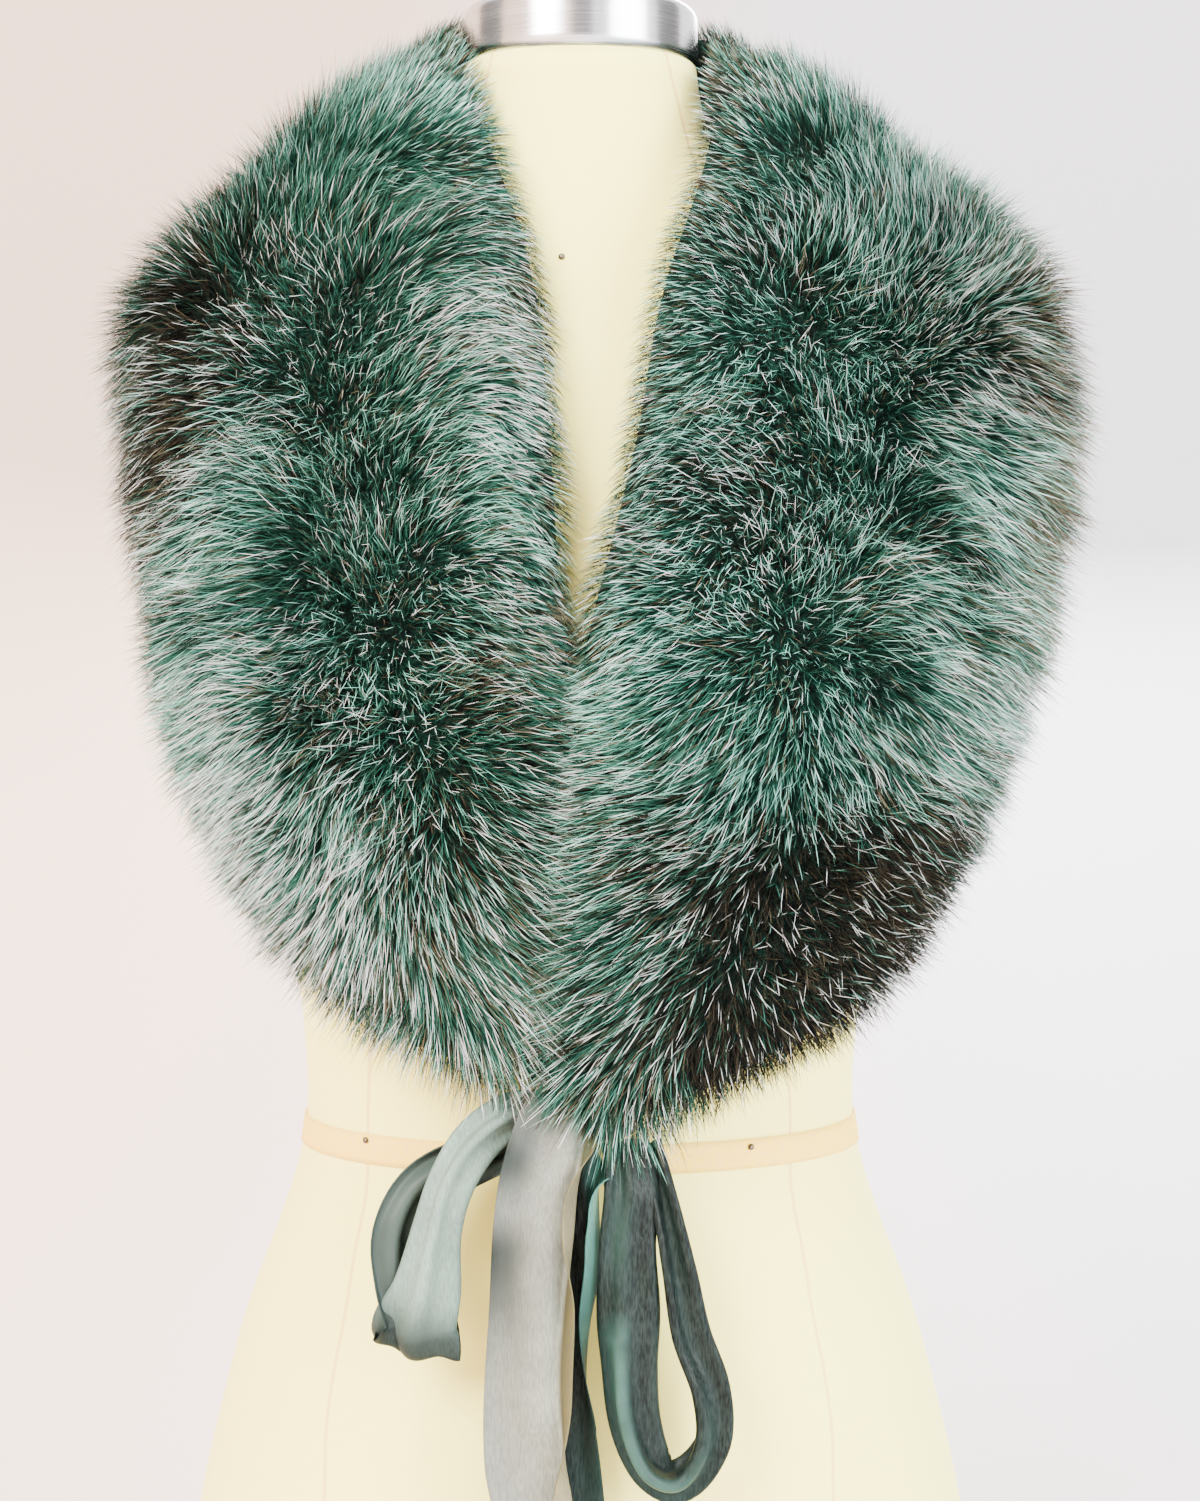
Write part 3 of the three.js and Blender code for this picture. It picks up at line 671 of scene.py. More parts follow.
def furSurface(half, heightShare):
    # the pelt and the surface over it, as grids of points in millimetres
    along = np.linspace(0, 1, fur["sections"])[:, None]
    share = ((1 - np.cos(np.pi * np.arange(fur["across"] + 1) / fur["across"])) / 2)[None, :]
    row = smoothAt(half["rows"], along[:, 0])[:, None, :]
    azimuth = row[..., 0] * (1 - share) + row[..., 2] * share
    z = row[..., 1] * (1 - share) + row[..., 3] * share
    normal = seatNormal(azimuth, z)
    pelt = seatPoint(azimuth, z) + normal * row[..., 5:6]
    dome = np.sqrt(np.maximum(0, 1 - np.abs(2 * share - 1) ** fur["fullness"]))
    opened = sum(depth * np.exp(-((along - place) / spread) ** 2)
                 for place, depth, spread in half["partings"])
    lumps = (fur["lumpHeight"] * np.sin(2 * np.pi * fur["lumpsAlong"] * along + half["hand"])
             * np.cos(2 * np.pi * fur["lumpsAcross"] * share))
    height = dome * (row[..., 4] + lumps - opened * dome ** 3) * heightShare
    over = pelt + normal * height[..., None]
    for points in (pelt, over):
        points[..., 0] *= half["hand"]
        points[-1, :, 0] = half["hand"] * fur["seamGap"] / 2
    return pelt, over, np.broadcast_to(along, azimuth.shape), np.broadcast_to(share, azimuth.shape)


def patchAmount(half, kind, points):
    # the sum of a kind's patches, which fade out toward the back
    total = np.zeros(points.shape[:-1])
    for x, z, radius, strength in half[kind]:
        total += strength * blob(points[..., [0, 2]], (x, z), radius)
    return np.clip(total * ease(*fur["patchDepths"], points[..., 1]), -1, 1)


def wander(points, size, seed):
    # a soft random field in about -1..1, the same on every run
    draw = np.random.default_rng(seed)
    total = np.zeros(points.shape[:-1])
    for _ in range(14):
        way = unit(draw.normal(size=3))
        total += np.sin((points @ way) * 2 * np.pi / (size * draw.uniform(0.7, 1.6)) + draw.uniform(0, 6.28))
    return total / 3.4


def underfurPiece(half, material):
    pelt, over, _, _ = furSurface(half, fur["underfurShare"])
    ring = np.concatenate([pelt, over[:, -2:0:-1]], axis=1) * millimetre
    rows, columns = ring.shape[:2]
    faces = gridFaces(rows, columns, closed=True)
    for first, reverse in ((0, False), ((rows - 1) * columns, True)):
        low, high = 0, columns - 1
        while low + 1 < high:
            face = [first + low, first + low + 1, first + high - 1, first + high]
            if low + 1 == high - 1:
                face.pop(2)
            faces.append(tuple(reversed(face)) if reverse else tuple(face))
            low, high = low + 1, high - 1
    body = meshObject("fur_" + half["side"] + "_underfur", ring.reshape(-1, 3), faces)
    makeOutward(body)
    body.data.materials.append(material)
    addPiece(body, ["fur_" + half["side"]])


def combField(half, pelt, over, along, share):
    # which way the hair lies at each point of the surface
    acrossWay = unit(np.gradient(over, axis=1))
    tipWay = -unit(np.gradient(over, axis=0))
    tipWay = unit(tipWay - acrossWay * np.sum(tipWay * acrossWay, axis=-1, keepdims=True))
    normal = unit(np.cross(acrossWay, tipWay))
    normal = normal * np.sign(np.sum(normal * (over - pelt)))
    height = over[..., 2]
    side = 2 * share - 1
    outward = (np.sign(side) * np.abs(side) ** fur["sideCurve"])[..., None] * fur["sideLean"]
    least = fur["leastLean"]
    lean = least + (1 - least) * ease(*fur["leanFade"], along)
    lean = fur["tipLean"] * lean * ease(*fur["seamFade"], along)
    low, lowFull, highFull, high = fur["openingHeights"]
    opening = ease(*fur["openingShare"], share) * ease(low, lowFull, height) * ease(high, highFull, height)
    outward = outward * (1 - fur["openingTurn"] * opening[..., None])
    lean = lean + fur["openingLean"] * opening
    lay = normal * fur["lift"] + acrossWay * outward + tipWay * lean[..., None]
    hang = fur["droop"] * ease(*fur["droopDepths"], over[..., 1])
    hang = hang + fur["tipHang"] * ease(*fur["tipReach"], along)
    rise = fur["collarRise"] * ease(*fur["collarHeights"], height)
    lay = lay + np.array([0, 0, 1.0]) * (rise - hang)[..., None]
    inFront = ease(*fur["whorlDepths"], over[..., 1])
    for x, z, radius in half["whorls"]:
        weight = (blob(over[..., [0, 2]], (x, z), radius) * inFront)[..., None]
        away = (over - np.array([x, 0, z], float)) * np.array([1, 0, 1]) / radius
        lay = (lay * (1 - fur["whorlFlat"] * weight)
               + (away * fur["whorlSpread"] + normal * fur["whorlStand"]) * weight)
    swirl = np.stack([wander(over, fur["swirlSize"], 5 + i) for i in range(3)], axis=-1)
    lay = lay + swirl * fur["swirl"]
    inward = np.minimum(0, np.sum(lay * normal, axis=-1) - fur["leastLift"])
    return unit(lay - normal * inward[..., None]), normal


def furEmitter(half):
    # the surface that the hairs grow on, with their tones, sizes and directions as attributes
    pelt, over, along, share = furSurface(half, fur["underfurShare"])
    lay, normal = combField(half, pelt, over, along, share)
    emitter = meshObject("emitter_" + half["side"], over.reshape(-1, 3) * millimetre,
                         gridFaces(*over.shape[:2]))
    green = patchAmount(half, "green", over)
    values = {}
    for kind, (mean, vary, size, seed, _) in fur["tones"].items():
        amount = mean + vary * wander(over, size, seed) + patchAmount(half, kind, over)
        if kind == "frost":
            amount = amount - fur["frostLost"] * values["dark"]
        if kind == "warm":
            amount = amount + fur["edgeWarmth"] * ease(*fur["edgeReach"], np.abs(2 * share - 1))
        values[kind] = np.clip(amount, 0, 1)
    for kind, row in fur["tones"].items():
        values[kind] = values[kind] * (1 - row[-1] * green)
    opened = sum(blob(over[..., [0, 2]], (x, z), radius) for x, z, radius in half["whorls"])
    opened = np.clip(opened, 0, 1) * ease(*fur["whorlDepths"], over[..., 1])
    darkPatch = patchAmount(half, "dark", over)
    height = over[..., 2]
    values["size"] = ((1 - fur["darkTrim"] * darkPatch - fur["whorlTrim"] * opened)
                      * (1 + fur["tipGrowth"] * ease(*fur["growthReach"], along))
                      * (1 - fur["edgeTrim"] * ease(*fur["edgeShare"], share)
                         * ease(*fur["edgeHeights"], height))
                      * (1 - fur["neckTrim"] * ease(*fur["neckHeights"], height)))
    values["wild"] = 1 + fur["whorlWild"] * opened + fur["darkWild"] * darkPatch
    for name, amounts in values.items():
        attribute = emitter.data.attributes.new(name, "FLOAT", "POINT")
        attribute.data.foreach_set("value", amounts.reshape(-1).astype(np.float32))
    for name, vectors in (("lay", lay), ("outward", normal)):
        attribute = emitter.data.attributes.new(name, "FLOAT_VECTOR", "POINT")
        attribute.data.foreach_set("vector", vectors.reshape(-1).astype(np.float32))
    return emitter


def bladeShapes(coat):
    # four bent hairs of length and width 1, with a map that runs from root (0) to tip (1)
    shapes = []
    for number, bend in enumerate(fur["bends"]):
        points, spots = [], []
        for place, width in zip(coat["points"], coat["taper"]):
            forward = bend * place ** 2
            if number == 3:  # the last one bends both ways
                forward = bend * (place ** 2 - 0.5 * math.sin(math.pi * place) * place)
            for across in ((-0.5, 0.5) if width else (0,)):
                points.append((forward, across * width, place * (1 - 0.4 * bend * place)))
                spots.append(place)
        faces = [(2 * i, 2 * i + 1, 2 * i + 3, 2 * i + 2) for i in range(len(coat["points"]) - 2)]
        last = len(points) - 1
        faces.append((last - 2, last - 1, last))
        shape = meshObject("hair_shape_" + str(number), points, faces)
        layer = shape.data.uv_layers.new(name="OFBake")
        for loop in shape.data.loops:
            layer.data[loop.index].uv = (0.5 + points[loop.vertex_index][1] * 0.01, spots[loop.vertex_index])
        shapes.append(shape)
    return shapes


def hairTree(shapes, material):
    tree = bpy.data.node_groups.new("combedHairs", "GeometryNodeTree")
    face = tree.interface
    face.new_socket("Pelt", in_out="INPUT", socket_type="NodeSocketGeometry")
    for name in ("Density", "Length", "Vary", "Width", "Jitter", "Clump Pull", "Clump Size"):
        face.new_socket(name, in_out="INPUT", socket_type="NodeSocketFloat")
    face.new_socket("Seed", in_out="INPUT", socket_type="NodeSocketInt")
    face.new_socket("Hairs", in_out="OUTPUT", socket_type="NodeSocketGeometry")
    given = tree.nodes.new("NodeGroupInput").outputs

    def add(kind, inputs=(), **settings):
        return addNode(tree, kind, inputs, **settings)

    def attribute(name, kind="FLOAT"):
        return add("GeometryNodeInputNamedAttribute", {"Name": name}, data_type=kind).outputs["Attribute"]

    def maths(operation, a, b):
        return addMath(tree, operation, a, b)

    def vectors(operation, a, b):
        second = "Scale" if operation == "SCALE" else 1
        return add("ShaderNodeVectorMath", {0: a, second: b}, operation=operation).outputs[0]

    def draw(low, high, step):
        # a random number for each hair, with its own step from the seed
        seed = maths("ADD", given["Seed"], step)
        return add("FunctionNodeRandomValue", {2: low, 3: high, "Seed": seed}, data_type="FLOAT").outputs[1]

    scatter = add("GeometryNodeDistributePointsOnFaces",
                  {"Mesh": given["Pelt"], "Density": given["Density"], "Seed": given["Seed"]})
    position = add("GeometryNodeInputPosition").outputs[0]
    cells = add("ShaderNodeTexVoronoi", {"Randomness": 1, "Vector": position,
                                         "Scale": maths("DIVIDE", 1.0, given["Clump Size"])})
    toMiddle = vectors("SUBTRACT", cells.outputs["Position"], position)
    pulled = vectors("SCALE", toMiddle, maths("DIVIDE", given["Clump Pull"], given["Clump Size"]))
    loose = add("FunctionNodeRandomValue", {0: (-1, -1, -1), 1: (1, 1, 1), "Seed": given["Seed"]},
                data_type="FLOAT_VECTOR").outputs[0]
    strayed = vectors("SCALE", loose, maths("MULTIPLY", given["Jitter"], attribute("wild")))
    way = vectors("ADD", vectors("ADD", attribute("lay", "FLOAT_VECTOR"), pulled), strayed)
    stand = add("FunctionNodeAlignRotationToVector", {"Vector": way}, axis="Z")
    toPelt = vectors("SCALE", attribute("outward", "FLOAT_VECTOR"), -1.0)
    lieDown = add("FunctionNodeAlignRotationToVector", {"Rotation": stand.outputs[0], "Vector": toPelt},
                  axis="X", pivot_axis="Z")
    twist = add("FunctionNodeAxisAngleToRotation",
                {"Axis": (0, 0, 1), "Angle": draw(-fur["twist"], fur["twist"], 1.0)})
    turned = add("FunctionNodeRotateRotation", {0: lieDown.outputs[0], 1: twist.outputs[0]},
                 rotation_space="LOCAL")
    shorter, longer = (maths(operation, 1.0, given["Vary"]) for operation in ("SUBTRACT", "ADD"))
    factor = maths("MULTIPLY", draw(shorter, longer, 2.0), attribute("size"))
    length = maths("MULTIPLY", given["Length"], factor)
    width = maths("MULTIPLY", given["Width"], draw(*fur["widths"], 3.0))
    scale = add("ShaderNodeCombineXYZ", {"X": length, "Y": width, "Z": length})
    pick = add("GeometryNodeStoreNamedAttribute", data_type="FLOAT", domain="POINT", inputs={
        "Name": "pick", "Geometry": scatter.outputs["Points"], "Value": draw(0.0, 1.0, 4.0)})
    gathered = add("GeometryNodeJoinGeometry")
    for shape in shapes:
        info = add("GeometryNodeObjectInfo", {"Object": shape, "As Instance": True})
        feed(tree, gathered.inputs[0], info.outputs["Geometry"])
    plant = add("GeometryNodeInstanceOnPoints", {
        "Points": pick.outputs[0], "Instance": gathered.outputs[0], "Pick Instance": True,
        "Instance Index": draw(0.0, 3.99, 5.0), "Rotation": turned.outputs[0], "Scale": scale.outputs[0]})
    realize = add("GeometryNodeRealizeInstances", {0: plant.outputs[0]})
    dressed = add("GeometryNodeSetMaterial", {"Geometry": realize.outputs[0], "Material": material})
    add("NodeGroupOutput", {0: dressed.outputs[0]})
    return tree


def hairPiece(half, coat, emitter, tree, material):
    area = sum(polygon.area for polygon in emitter.data.polygons)
    modifier = emitter.modifiers.new("hairs", "NODES")
    modifier.node_group = tree
    values = {
        "Density": coat["hairs"] / area,
        "Length": coat["length"] * millimetre,
        "Vary": coat["vary"],
        "Width": coat["width"] * millimetre,
        "Jitter": coat["jitter"],
        "Clump Pull": coat["pull"],
        "Clump Size": coat["clump"] * millimetre,
        "Seed": coat["seed"],
    }
    for item in tree.interface.items_tree:
        if item.in_out == "INPUT" and item.name in values:
            modifier[item.identifier] = values[item.name]
    emitter.update_tag()
    evaluated = emitter.evaluated_get(bpy.context.evaluated_depsgraph_get())
    mesh = bpy.data.meshes.new_from_object(evaluated)
    emitter.modifiers.remove(modifier)
    spread = hairTones(mesh, coat)
    name = "fur_" + half["side"] + "_" + coat["name"]
    mesh.name = name
    mesh.materials.clear()
    mesh.materials.append(material)
    mesh.shade_smooth()
    addPiece(addObject(name, mesh), ["fur_" + half["side"]])
    triangles = sum(len(polygon.vertices) - 2 for polygon in mesh.polygons)
    print(name, "triangles", triangles, "tones", spread)


def hairTones(mesh, coat):
    # picks black, brown, green, mint or silver for each hair, by how common each is around it
    def read(name):
        values = np.empty(len(mesh.vertices), np.float32)
        mesh.attributes[name].data.foreach_get("value", values)
        return values

    pick, dark, frost, mint, warm = (read(name) for name in ("pick", "dark", "frost", "mint", "warm"))
    most = fur["most"]
    darkShare = np.clip(dark * coat["blackest"], 0, most["dark"])
    warmShare = np.clip(warm * fur["warmth"], 0, most["warm"]) * (1 - darkShare)
    rest = 1 - darkShare - warmShare
    silver = np.maximum(frost, fur["frostOnDark"] * dark)
    frostShare = rest * np.clip(silver, 0, most["frost"]) * coat["pale"]
    mintShare = (rest - frostShare) * np.clip(mint, 0, most["mint"]) * coat["pale"]
    edges = np.cumsum([darkShare, warmShare, mintShare, frostShare], axis=0)
    tone = np.full(len(pick), 0.5)
    for edge, value in zip(edges[::-1], (0.98, 0.75, 0.25, 0.02)):
        tone = np.where(pick < edge, value, tone)
    tone = np.clip(tone + (np.modf(pick * 977.0)[0] - 0.5) * 0.1, 0.005, 0.995)
    corners = np.empty(len(mesh.loops), np.int32)
    mesh.loops.foreach_get("vertex_index", corners)
    layer = mesh.uv_layers["OFBake"]
    spots = np.empty(len(mesh.loops) * 2, np.float32)
    layer.uv.foreach_get("vector", spots)
    spots = spots.reshape(-1, 2)
    spots[:, 0] = tone[corners] + (spots[:, 0] - 0.5)
    layer.uv.foreach_set("vector", spots.reshape(-1))
    for name in ("pick", "dark", "frost", "mint", "warm", "size", "wild", "lay", "outward"):
        if name in mesh.attributes:
            mesh.attributes.remove(mesh.attributes[name])
    return np.round(np.histogram(tone, bins=5, range=(0, 1))[0] / len(tone), 2).tolist()


def hairMaterial():
    # across its map: black, brown, green, mint and silver hairs; up its map: from root to tip
    material, shader = newMaterial("dyedFurHair", {"Roughness": 0.6, "Specular IOR Level": 0.03})
    axes = axesOf(material, "OFBake")
    root, middle, tip = (addRamp(material, axes["X"], list(zip((0, 0.25, 0.5, 0.75, 1), hairColours[part])))
                         for part in ("root", "middle", "tip"))
    lower = addMix(material, addRange(material, axes["Y"], *hairColours["toMiddle"]), root, middle)
    feed(material, shader.inputs["Base Color"],
         addMix(material, addRange(material, axes["Y"], *hairColours["toTip"]), lower, tip))
    return material


def underfurMaterial():
    material, shader = newMaterial("denseWool", {"Roughness": 0.9, "Specular IOR Level": 0.1})
    tuft = addNoise(material, 260, 5.0)
    area = addNoise(material, 22, 2.0)
    green, brown = (addRamp(material, tuft, woolColours[kind]) for kind in ("green", "brown"))
    feed(material, shader.inputs["Base Color"],
         addMix(material, addMath(material, "MULTIPLY", area, 0.5), green, brown))
    addBump(material, shader, tuft, 0.8, 0.003)
    return material


def buildFur():
    hair, wool = hairMaterial(), underfurMaterial()
    emitters = [(half, furEmitter(half)) for half in (leftHalf, rightHalf)]
    for half, _ in emitters:
        underfurPiece(half, wool)
    for coat in coats:
        shapes = bladeShapes(coat)
        tree = hairTree(shapes, hair)
        for half, emitter in emitters:
            hairPiece(half, coat, emitter, tree, hair)
        bpy.data.node_groups.remove(tree)
        for shape in shapes:
            bpy.data.objects.remove(shape)
    for _, emitter in emitters:
        bpy.data.objects.remove(emitter)


buildFur()
print("fur ready")


# Satin tie. Lengths are in millimetres and angles in degrees.

satin = {
    "width": 42,
    "thickness": 0.5,
    "across": 48,
    "ringsPerRow": 7,
    "fineAcross": 192,
    "rollPower": 2.2,
    "lipGain": 1.55,
    "lipSoftness": 0.26,
    "lipShift": -0.16,
    "ripple": 0.5,
    "rippleSize": 19,
    "threadScale": 1500,
    "cloudScale": 45,
    "cloudRamp": [(0.36, "#000000"), (0.62, "#ffffff")],
    "grainRamp": [(0.36, "#000000"), (0.64, "#a0a0a0")],
    "roughness": 0.42,
    "gloss": 0.09,
    "stretchedGloss": 0.45,
    # linear colours of the painted margin shadow, the clouds of painted shade and the threads
    "marginShadowColour": (0.01, 0.014, 0.012, 1),
    "cloudShadeColour": (0.004, 0.008, 0.007, 1),
    "threadColour": (0.03, 0.045, 0.04, 1),
    # colours from the left margin to the right one, for each kind of side: lit and shaded copies of the one
    # satin, with painted shade in its folds and hollow, and the olive back side
    "hues": {
        "plain": ((0, "#657a70"), (0.3, "#7b9184"), (0.7, "#75897d"), (1, "#657d73")),
        # the right loop: near-black bands of painted fold shade on either side of a teal band
        "shadedSide": ((0, "#0c1513"), (0.22, "#1a2f2b"), (0.42, "#40645a"), (0.6, "#131d1b"), (0.78, "#070a09"),
                  (1, "#232e2a")),
        # the front tail: a pale lit copy, with the olive back side showing along its right margin
        "paleLitSide": ((0, "#6f726a"), (0.2, "#767970"), (0.5, "#7f8277"), (0.78, "#858878"), (0.84, "#4c4629"),
                   (1, "#69613e")),
        # the back tail: painted shade of the hollow over the left part, the satin's own teal on the right
        # margin
        "tealHollowShade": ((0, "#020303"), (0.6, "#040505"), (0.7, "#244f46"), (1, "#56988a")),
        "olive": ((0, "#5a5640"), (1, "#8c8462")),
    },
    # painted light and shade along each one's length
    "paintedLightAlong": {
        # the left loop: painted shade near the knot, under its bottom fold and on its back strand
        "plain": ((0, "#6c6c6c"), (0.08, "#c8c8c8"), (0.2, "#ffffff"), (0.4, "#f0f0f0"), (0.45, "#a4a4a4"),
                  (0.49, "#585858"), (0.6, "#343434"), (0.8, "#8c8c8c"), (1, "#585858")),
        # the right loop: a painted shade pocket with a painted highlight just below it, and a shaded right
        # strand
        "shadedSide": ((0, "#484848"), (0.12, "#909090"), (0.2, "#808080"), (0.24, "#484848"), (0.28, "#ffffff"),
                  (0.36, "#d8d8d8"), (0.52, "#d8d8d8"), (0.6, "#707070"), (0.7, "#3c3c3c"), (0.85, "#505050"),
                  (1, "#303030")),
        # the front tail: painted light, lighter toward its lower end
        "paleLitSide": ((0, "#b8b8b8"), (0.1, "#d0d0d0"), (0.2, "#f4f4f4"), (0.45, "#e8e8e8"), (0.7, "#ffffff")),
        # the back tail: painted shade over its lower part
        "tealHollowShade": ((0, "#505050"), (0.2, "#ffffff"), (0.42, "#c0c0c0"), (0.6, "#404040"), (1, "#606060")),
        "olive": ((0, "#a0a0a0"), (1, "#ffffff")),
    },
    # how much of each is lost in its clouds of painted fold shade, which also mottle the satin
    "shadeClouds": {"plain": 0.18, "shadedSide": 0.6, "paleLitSide": 0.15, "tealHollowShade": 0.4, "olive": 0.3},
    # a painted soft shadow on the left margin of the front tail, across and along
    "marginShadow": {"paleLitSide": (((0, "#ffffff"), (0.14, "#f0f0f0"), (0.5, "#000000")),
                          ((0.06, "#000000"), (0.2, "#ffffff"), (0.3, "#989898"), (0.38, "#ffffff"),
                           (0.56, "#000000")))},
}

# Columns of the rows: x, y, z, the share of the width that the ribbon still spreads over, curl, then
# turn, pleat, lip and where the lip starts, where these are not 0, 0, 0 and 0.8. Folds count the
# gathers across. Parts are the shares of the narrowing that the threads, the gathers and the rolled
# margins take.
stretches = [
    {"node": "tie_left_loop", "folds": 2.2, "parts": (0.34, 0.34, 0.32), "sides": ("plain", "plain"),
     "held": "gathered", "rows": [
        (-10, -105.6, 322.6, 0.28, -40), (-25, -111, 323, 0.38, -70, 8), (-40, -117, 313, 0.42, -80, 18),
        (-50, -121, 297, 0.4, -90, 20), (-55, -122, 278, 0.44, -80, 10), (-59, -124, 256, 0.62, -50, 14),
        (-63.8, -124.5, 240.3, 0.76, -15, 16), (-64.3, -119.5, 229, 0.775, 0, 47),
        (-64, -114.5, 240.3, 0.75, 10, 77), (-67, -113.5, 257, 0.58, 60, 68),
        (-69.5, -113, 276, 0.42, 100, 60), (-60, -111, 294, 0.38, 90, 48), (-38, -106, 306, 0.34, 80, 32),
        (-10.5, -99.5, 314.5, 0.3, 60, 20)]},
    {"node": "tie_right_loop", "folds": 2.1, "parts": (0.28, 0.4, 0.32), "sides": ("shadedSide", "olive"),
     "held": "gathered", "rows": [
        (17.5, -106.7, 311.2, 0.42, -50, 0, 45), (20, -115, 294, 0.42, -50, 0, 45),
        (18.6, -118, 272, 0.36, -40, 0, 45), (18.8, -119, 247, 0.45, -40, 0, 40),
        (18.4, -120, 225, 0.4, -60, 6, 20), (20.5, -120, 201, 0.38, -60, 6, 10),
        (28, -120, 182.5, 0.35, -50, 4), (40.5, -119, 178.5, 0.34, -40, -14),
        (50, -118, 194, 0.28, -40, -34, 10), (49.5, -117, 214, 0.26, -40, -34, 16),
        (42, -116, 236, 0.3, -60, -26, 16), (37.8, -115, 262, 0.28, -70, -24, 16),
        (33.5, -113, 286, 0.26, -70, -24, 16), (27.5, -104, 310, 0.26, -60, -20, 16)]},
    {"node": "tie_tail_front", "folds": 1.2, "parts": (0.5, 0.5, 0), "sides": ("paleLitSide", "olive"),
     "held": "hung", "rows": [
        (-5, -114.1, 326, 0.56, -70), (-8.5, -119.5, 316, 0.76, -50, 0, 0, 60),
        (-12, -125, 298, 0.9, -22, 0, 0, 100, 0.74), (-14, -128, 278, 0.93, -30, 0, 0, 105, 0.74),
        (-17, -128, 250, 0.84, -60, 0, 0, 75, 0.78), (-19, -128, 218, 0.84, -65, 0, 0, 70, 0.78),
        (-17, -128, 190, 0.95, -45, 0, 0, 90, 0.72), (-13, -128, 168, 1, -25, 0, 0, 105, 0.66),
        (-13, -127, 140, 1, -15, 0, 0, 80, 0.68), (-15, -126, 112, 1, -12, 0, 0, 40)]},
    {"node": "tie_tail_back", "folds": 1.2, "parts": (0.5, 0.5, 0), "sides": ("tealHollowShade", "tealHollowShade"),
     "held": "hung", "rows": [
        (2, -105.4, 309.3, 0.4, -60), (-2, -110, 296, 0.74, -20, 0, 0, 90, 0.7),
        (-2, -111, 278, 0.86, -10, 0, 0, 105, 0.66), (-1, -111, 262, 0.9, -10, 0, 0, 105, 0.6),
        (-6, -111, 243, 0.9, -10, 0, 0, 100, 0.68), (-9.5, -111, 222, 0.92, -14, 0, 0, 80, 0.76),
        (-11.5, -111, 196, 1, -18, 0, 0, 40), (-10, -110, 165, 1, -20, 0, 0, 20), (-7, -109, 128, 1, -20)]},
    {"node": "tie_left_lead", "folds": 2.5, "parts": (0.3, 0.5, 0.2), "sides": ("plain", "olive"),
     "held": "gathered", "rows": [
        (-17, -107.2, 349, 0.3, 10), (-11.5, -106, 341, 0.28, 20), (-4.5, -103.5, 331.7, 0.26, 30)]},
]
rowDefaults = (0, 0, 0, 0.8)
knot = {
    "x": 7,
    "y": -102.8,
    "z": 321,
    "halfWidth": 17,
    "halfDepth": 7.6,
    "halfHeight": 12,
    "grooves": 5,
    "grooveDepth": 0.07,
    "inset": 0.03,
    "blunt": 0.7,
    "endAngle": 5,
    "wrap": 29,
    "sections": 60,
    "around": 64,
}


def foldAngles(gathered, rolled):
    # how steep the gathers are, and how far the margins roll back, in radians, where each leaves
    # this share of the cloth's width
    trials = np.linspace(0, 3.4, 240)[:, None]
    turns = np.linspace(0, 2 * np.pi, 64, endpoint=False)
    waves = np.cos(trials * np.sin(turns)).mean(axis=1)[:150]
    rolls = np.cos(trials * np.linspace(0, 1, 64) ** satin["rollPower"]).mean(axis=1)
    return np.interp(-gathered, -waves, trials[:150, 0]), np.interp(-rolled, -rolls, trials[:, 0])


def ribbonProfile(row, stretch, at):
    # the ribbon's section at a row, as points across and ahead of its middle
    spread, curl, pleat, lip, lipAt = min(row[3], 1), row[4], row[6], row[7] * satin["lipGain"], row[8]
    lipAt += satin["lipShift"]
    folds = stretch["folds"]
    fine = satin["fineAcross"]
    place = (2 * (np.arange(fine) + 0.5)) / fine - 1
    u = np.clip((place - lipAt) / satin["lipSoftness"] + 0.5, 0, 1)
    phase = np.pi * folds * (place + 0.13 * np.sin(2.3 * place + 5 * at)) + 0.9 * math.sin(4 * at) + folds
    narrowed, gathered, rolled = (spread ** part for part in stretch["parts"])
    gather, roll = foldAngles(gathered, rolled)
    angle = (np.radians(curl / 2 * place + pleat * np.sin(2 * np.pi * place) + lip * u * u * (3 - 2 * u))
             + gather * np.sin(phase) - roll * np.sign(place) * np.abs(place) ** satin["rollPower"])
    step = satin["width"] * narrowed / fine
    line = np.zeros((fine + 1, 2))
    line[1:, 0] = np.cumsum(step * np.cos(angle))
    line[1:, 1] = np.cumsum(step * np.sin(angle))
    chosen = line[np.round(np.linspace(0, fine, satin["across"] + 1)).astype(int)]
    return chosen - (line[fine // 2] + line.mean(axis=0)) / 2


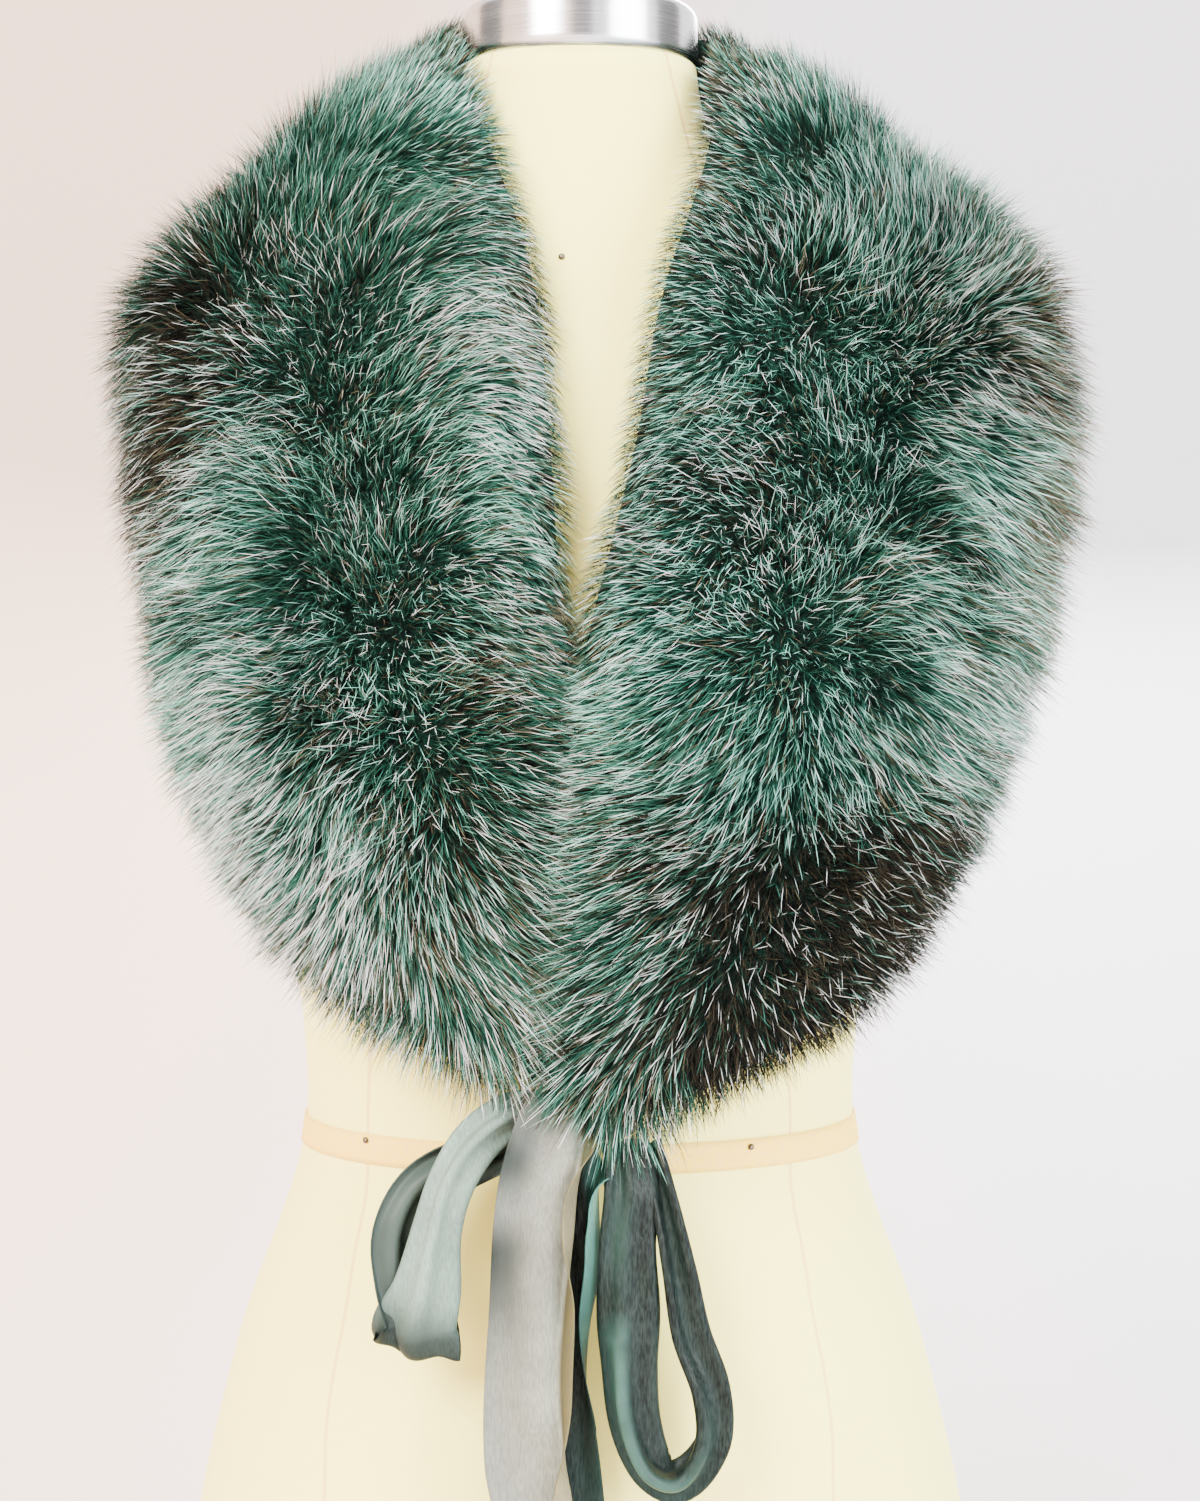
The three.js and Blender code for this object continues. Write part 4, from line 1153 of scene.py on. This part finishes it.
def ribbonPiece(stretch, materials):
    rows = np.array([row + rowDefaults[len(row) - 5:] for row in stretch["rows"]], float)
    count = (len(rows) - 1) * satin["ringsPerRow"]

    def middleAt(at):
        return smoothAt(rows[:, :3], np.array([min(max(at, 0), 1)]))[0]

    carried = np.array([0, -1.0, 0])
    points = []
    for i in range(count + 1):
        at = i / count
        row = smoothAt(rows, np.array([at]))[0]
        middle = middleAt(at)
        along = unit(middleAt(at + 0.5 / count) - middleAt(at - 0.5 / count))
        carried = unit(carried - along * np.dot(carried, along))
        turn = math.radians(row[5])
        face = carried * math.cos(turn) + np.cross(along, carried) * math.sin(turn)
        side = np.cross(face, along)
        points += [middle + side * across + face * ahead
                   for across, ahead in ribbonProfile(row, stretch, at)]
    points = np.array(points)
    points[:, 1] += satin["ripple"] * wander(points, satin["rippleSize"], 7)
    columns = satin["across"] + 1
    faces = [tuple(reversed(face)) for face in gridFaces(count + 1, columns)]
    ribbon = meshObject(stretch["node"] + "_satin", points * millimetre, faces)
    mesh = ribbon.data
    layer = mesh.uv_layers.new(name="OFBake")
    for loop in mesh.loops:
        ring, column = divmod(loop.vertex_index, columns)
        layer.data[loop.index].uv = (0.02 + 0.96 * column / (columns - 1), 0.02 + 0.96 * ring / count)
    for side in stretch["sides"]:
        mesh.materials.append(materials[side])
    wall = ribbon.modifiers.new("wall", "SOLIDIFY")
    wall.thickness = satin["thickness"] * millimetre
    wall.offset = 0
    wall.material_offset = 1
    wall.use_even_offset = False
    addPiece(ribbon, [stretch["node"]])


def satinMaterial(kind):
    material, shader = newMaterial("satin" + kind.capitalize(), {
        "Roughness": satin["roughness"], "Specular IOR Level": satin["gloss"],
        "Anisotropic": satin["stretchedGloss"]})
    axes = axesOf(material, "OFBake")

    def overMap(across, along, interpolation="LINEAR"):
        # a ramp across the ribbon times one along it
        return addMix(material, 1.0, addRamp(material, axes["X"], across, interpolation),
                      addRamp(material, axes["Y"], along, interpolation), "MULTIPLY")

    threads = addNoise(material, satin["threadScale"], 2.0, (1, 1, 0.15))
    # the hue holds the painted light and shade across and along the ribbon
    hue = overMap(satin["hues"][kind], satin["paintedLightAlong"][kind])
    # a painted shadow on the front tail's left margin
    if kind in satin["marginShadow"]:
        hue = addMix(material, overMap(*satin["marginShadow"][kind], "EASE"), hue, satin["marginShadowColour"])
    # clouds of painted fold shade over the hue, with some mottling
    cloudShadedHue = addMix(material, satin["shadeClouds"][kind], hue, satin["cloudShadeColour"])
    shadeClouds = addNoise(material, satin["cloudScale"])
    cloudy = addRamp(material, shadeClouds, satin["cloudRamp"])
    grain = addRamp(material, threads, satin["grainRamp"])
    feed(material, shader.inputs["Base Color"],
         addMix(material, grain, addMix(material, cloudy, cloudShadedHue, hue), satin["threadColour"]))
    addBump(material, shader, threads, 0.12, 0.0002)
    return material


def knotPiece(material):
    sections, around, end = knot["sections"], knot["around"], knot["endAngle"]
    points = []
    for i in range(sections + 1):
        polar = math.radians(end + (180 - 2 * end) * i / sections)
        for k in range(around):
            turn = 2 * math.pi * k / around
            wave = math.sin(knot["grooves"] * 2 * polar + 0.8 * math.sin(turn))
            size = math.sin(polar) ** knot["blunt"] * (1 + knot["grooveDepth"] * wave - knot["inset"])
            points.append((knot["x"] - knot["halfWidth"] * math.cos(polar),
                           knot["y"] + knot["halfDepth"] * size * math.sin(turn),
                           knot["z"] + knot["halfHeight"] * size * math.cos(turn)))
    faces = gridFaces(sections + 1, around, closed=True)
    faces.append(tuple(range(around)))
    faces.append(tuple(sections * around + k for k in reversed(range(around))))
    piece = meshObject("tie_knot_satin", np.array(points) * millimetre, faces)
    makeOutward(piece)
    piece.data.materials.append(material)
    addPiece(piece, ["tie_knot"])


def buildTie():
    # one material for each kind of side; the satin kinds are lit and shaded copies of one cloth, with their
    # light and shade painted in
    materials = {kind: satinMaterial(kind) for kind in satin["paintedLightAlong"]}
    for stretch in stretches:
        ribbonPiece(stretch, materials)
    knotPiece(materials["plain"])


buildTie()
print("tie ready")
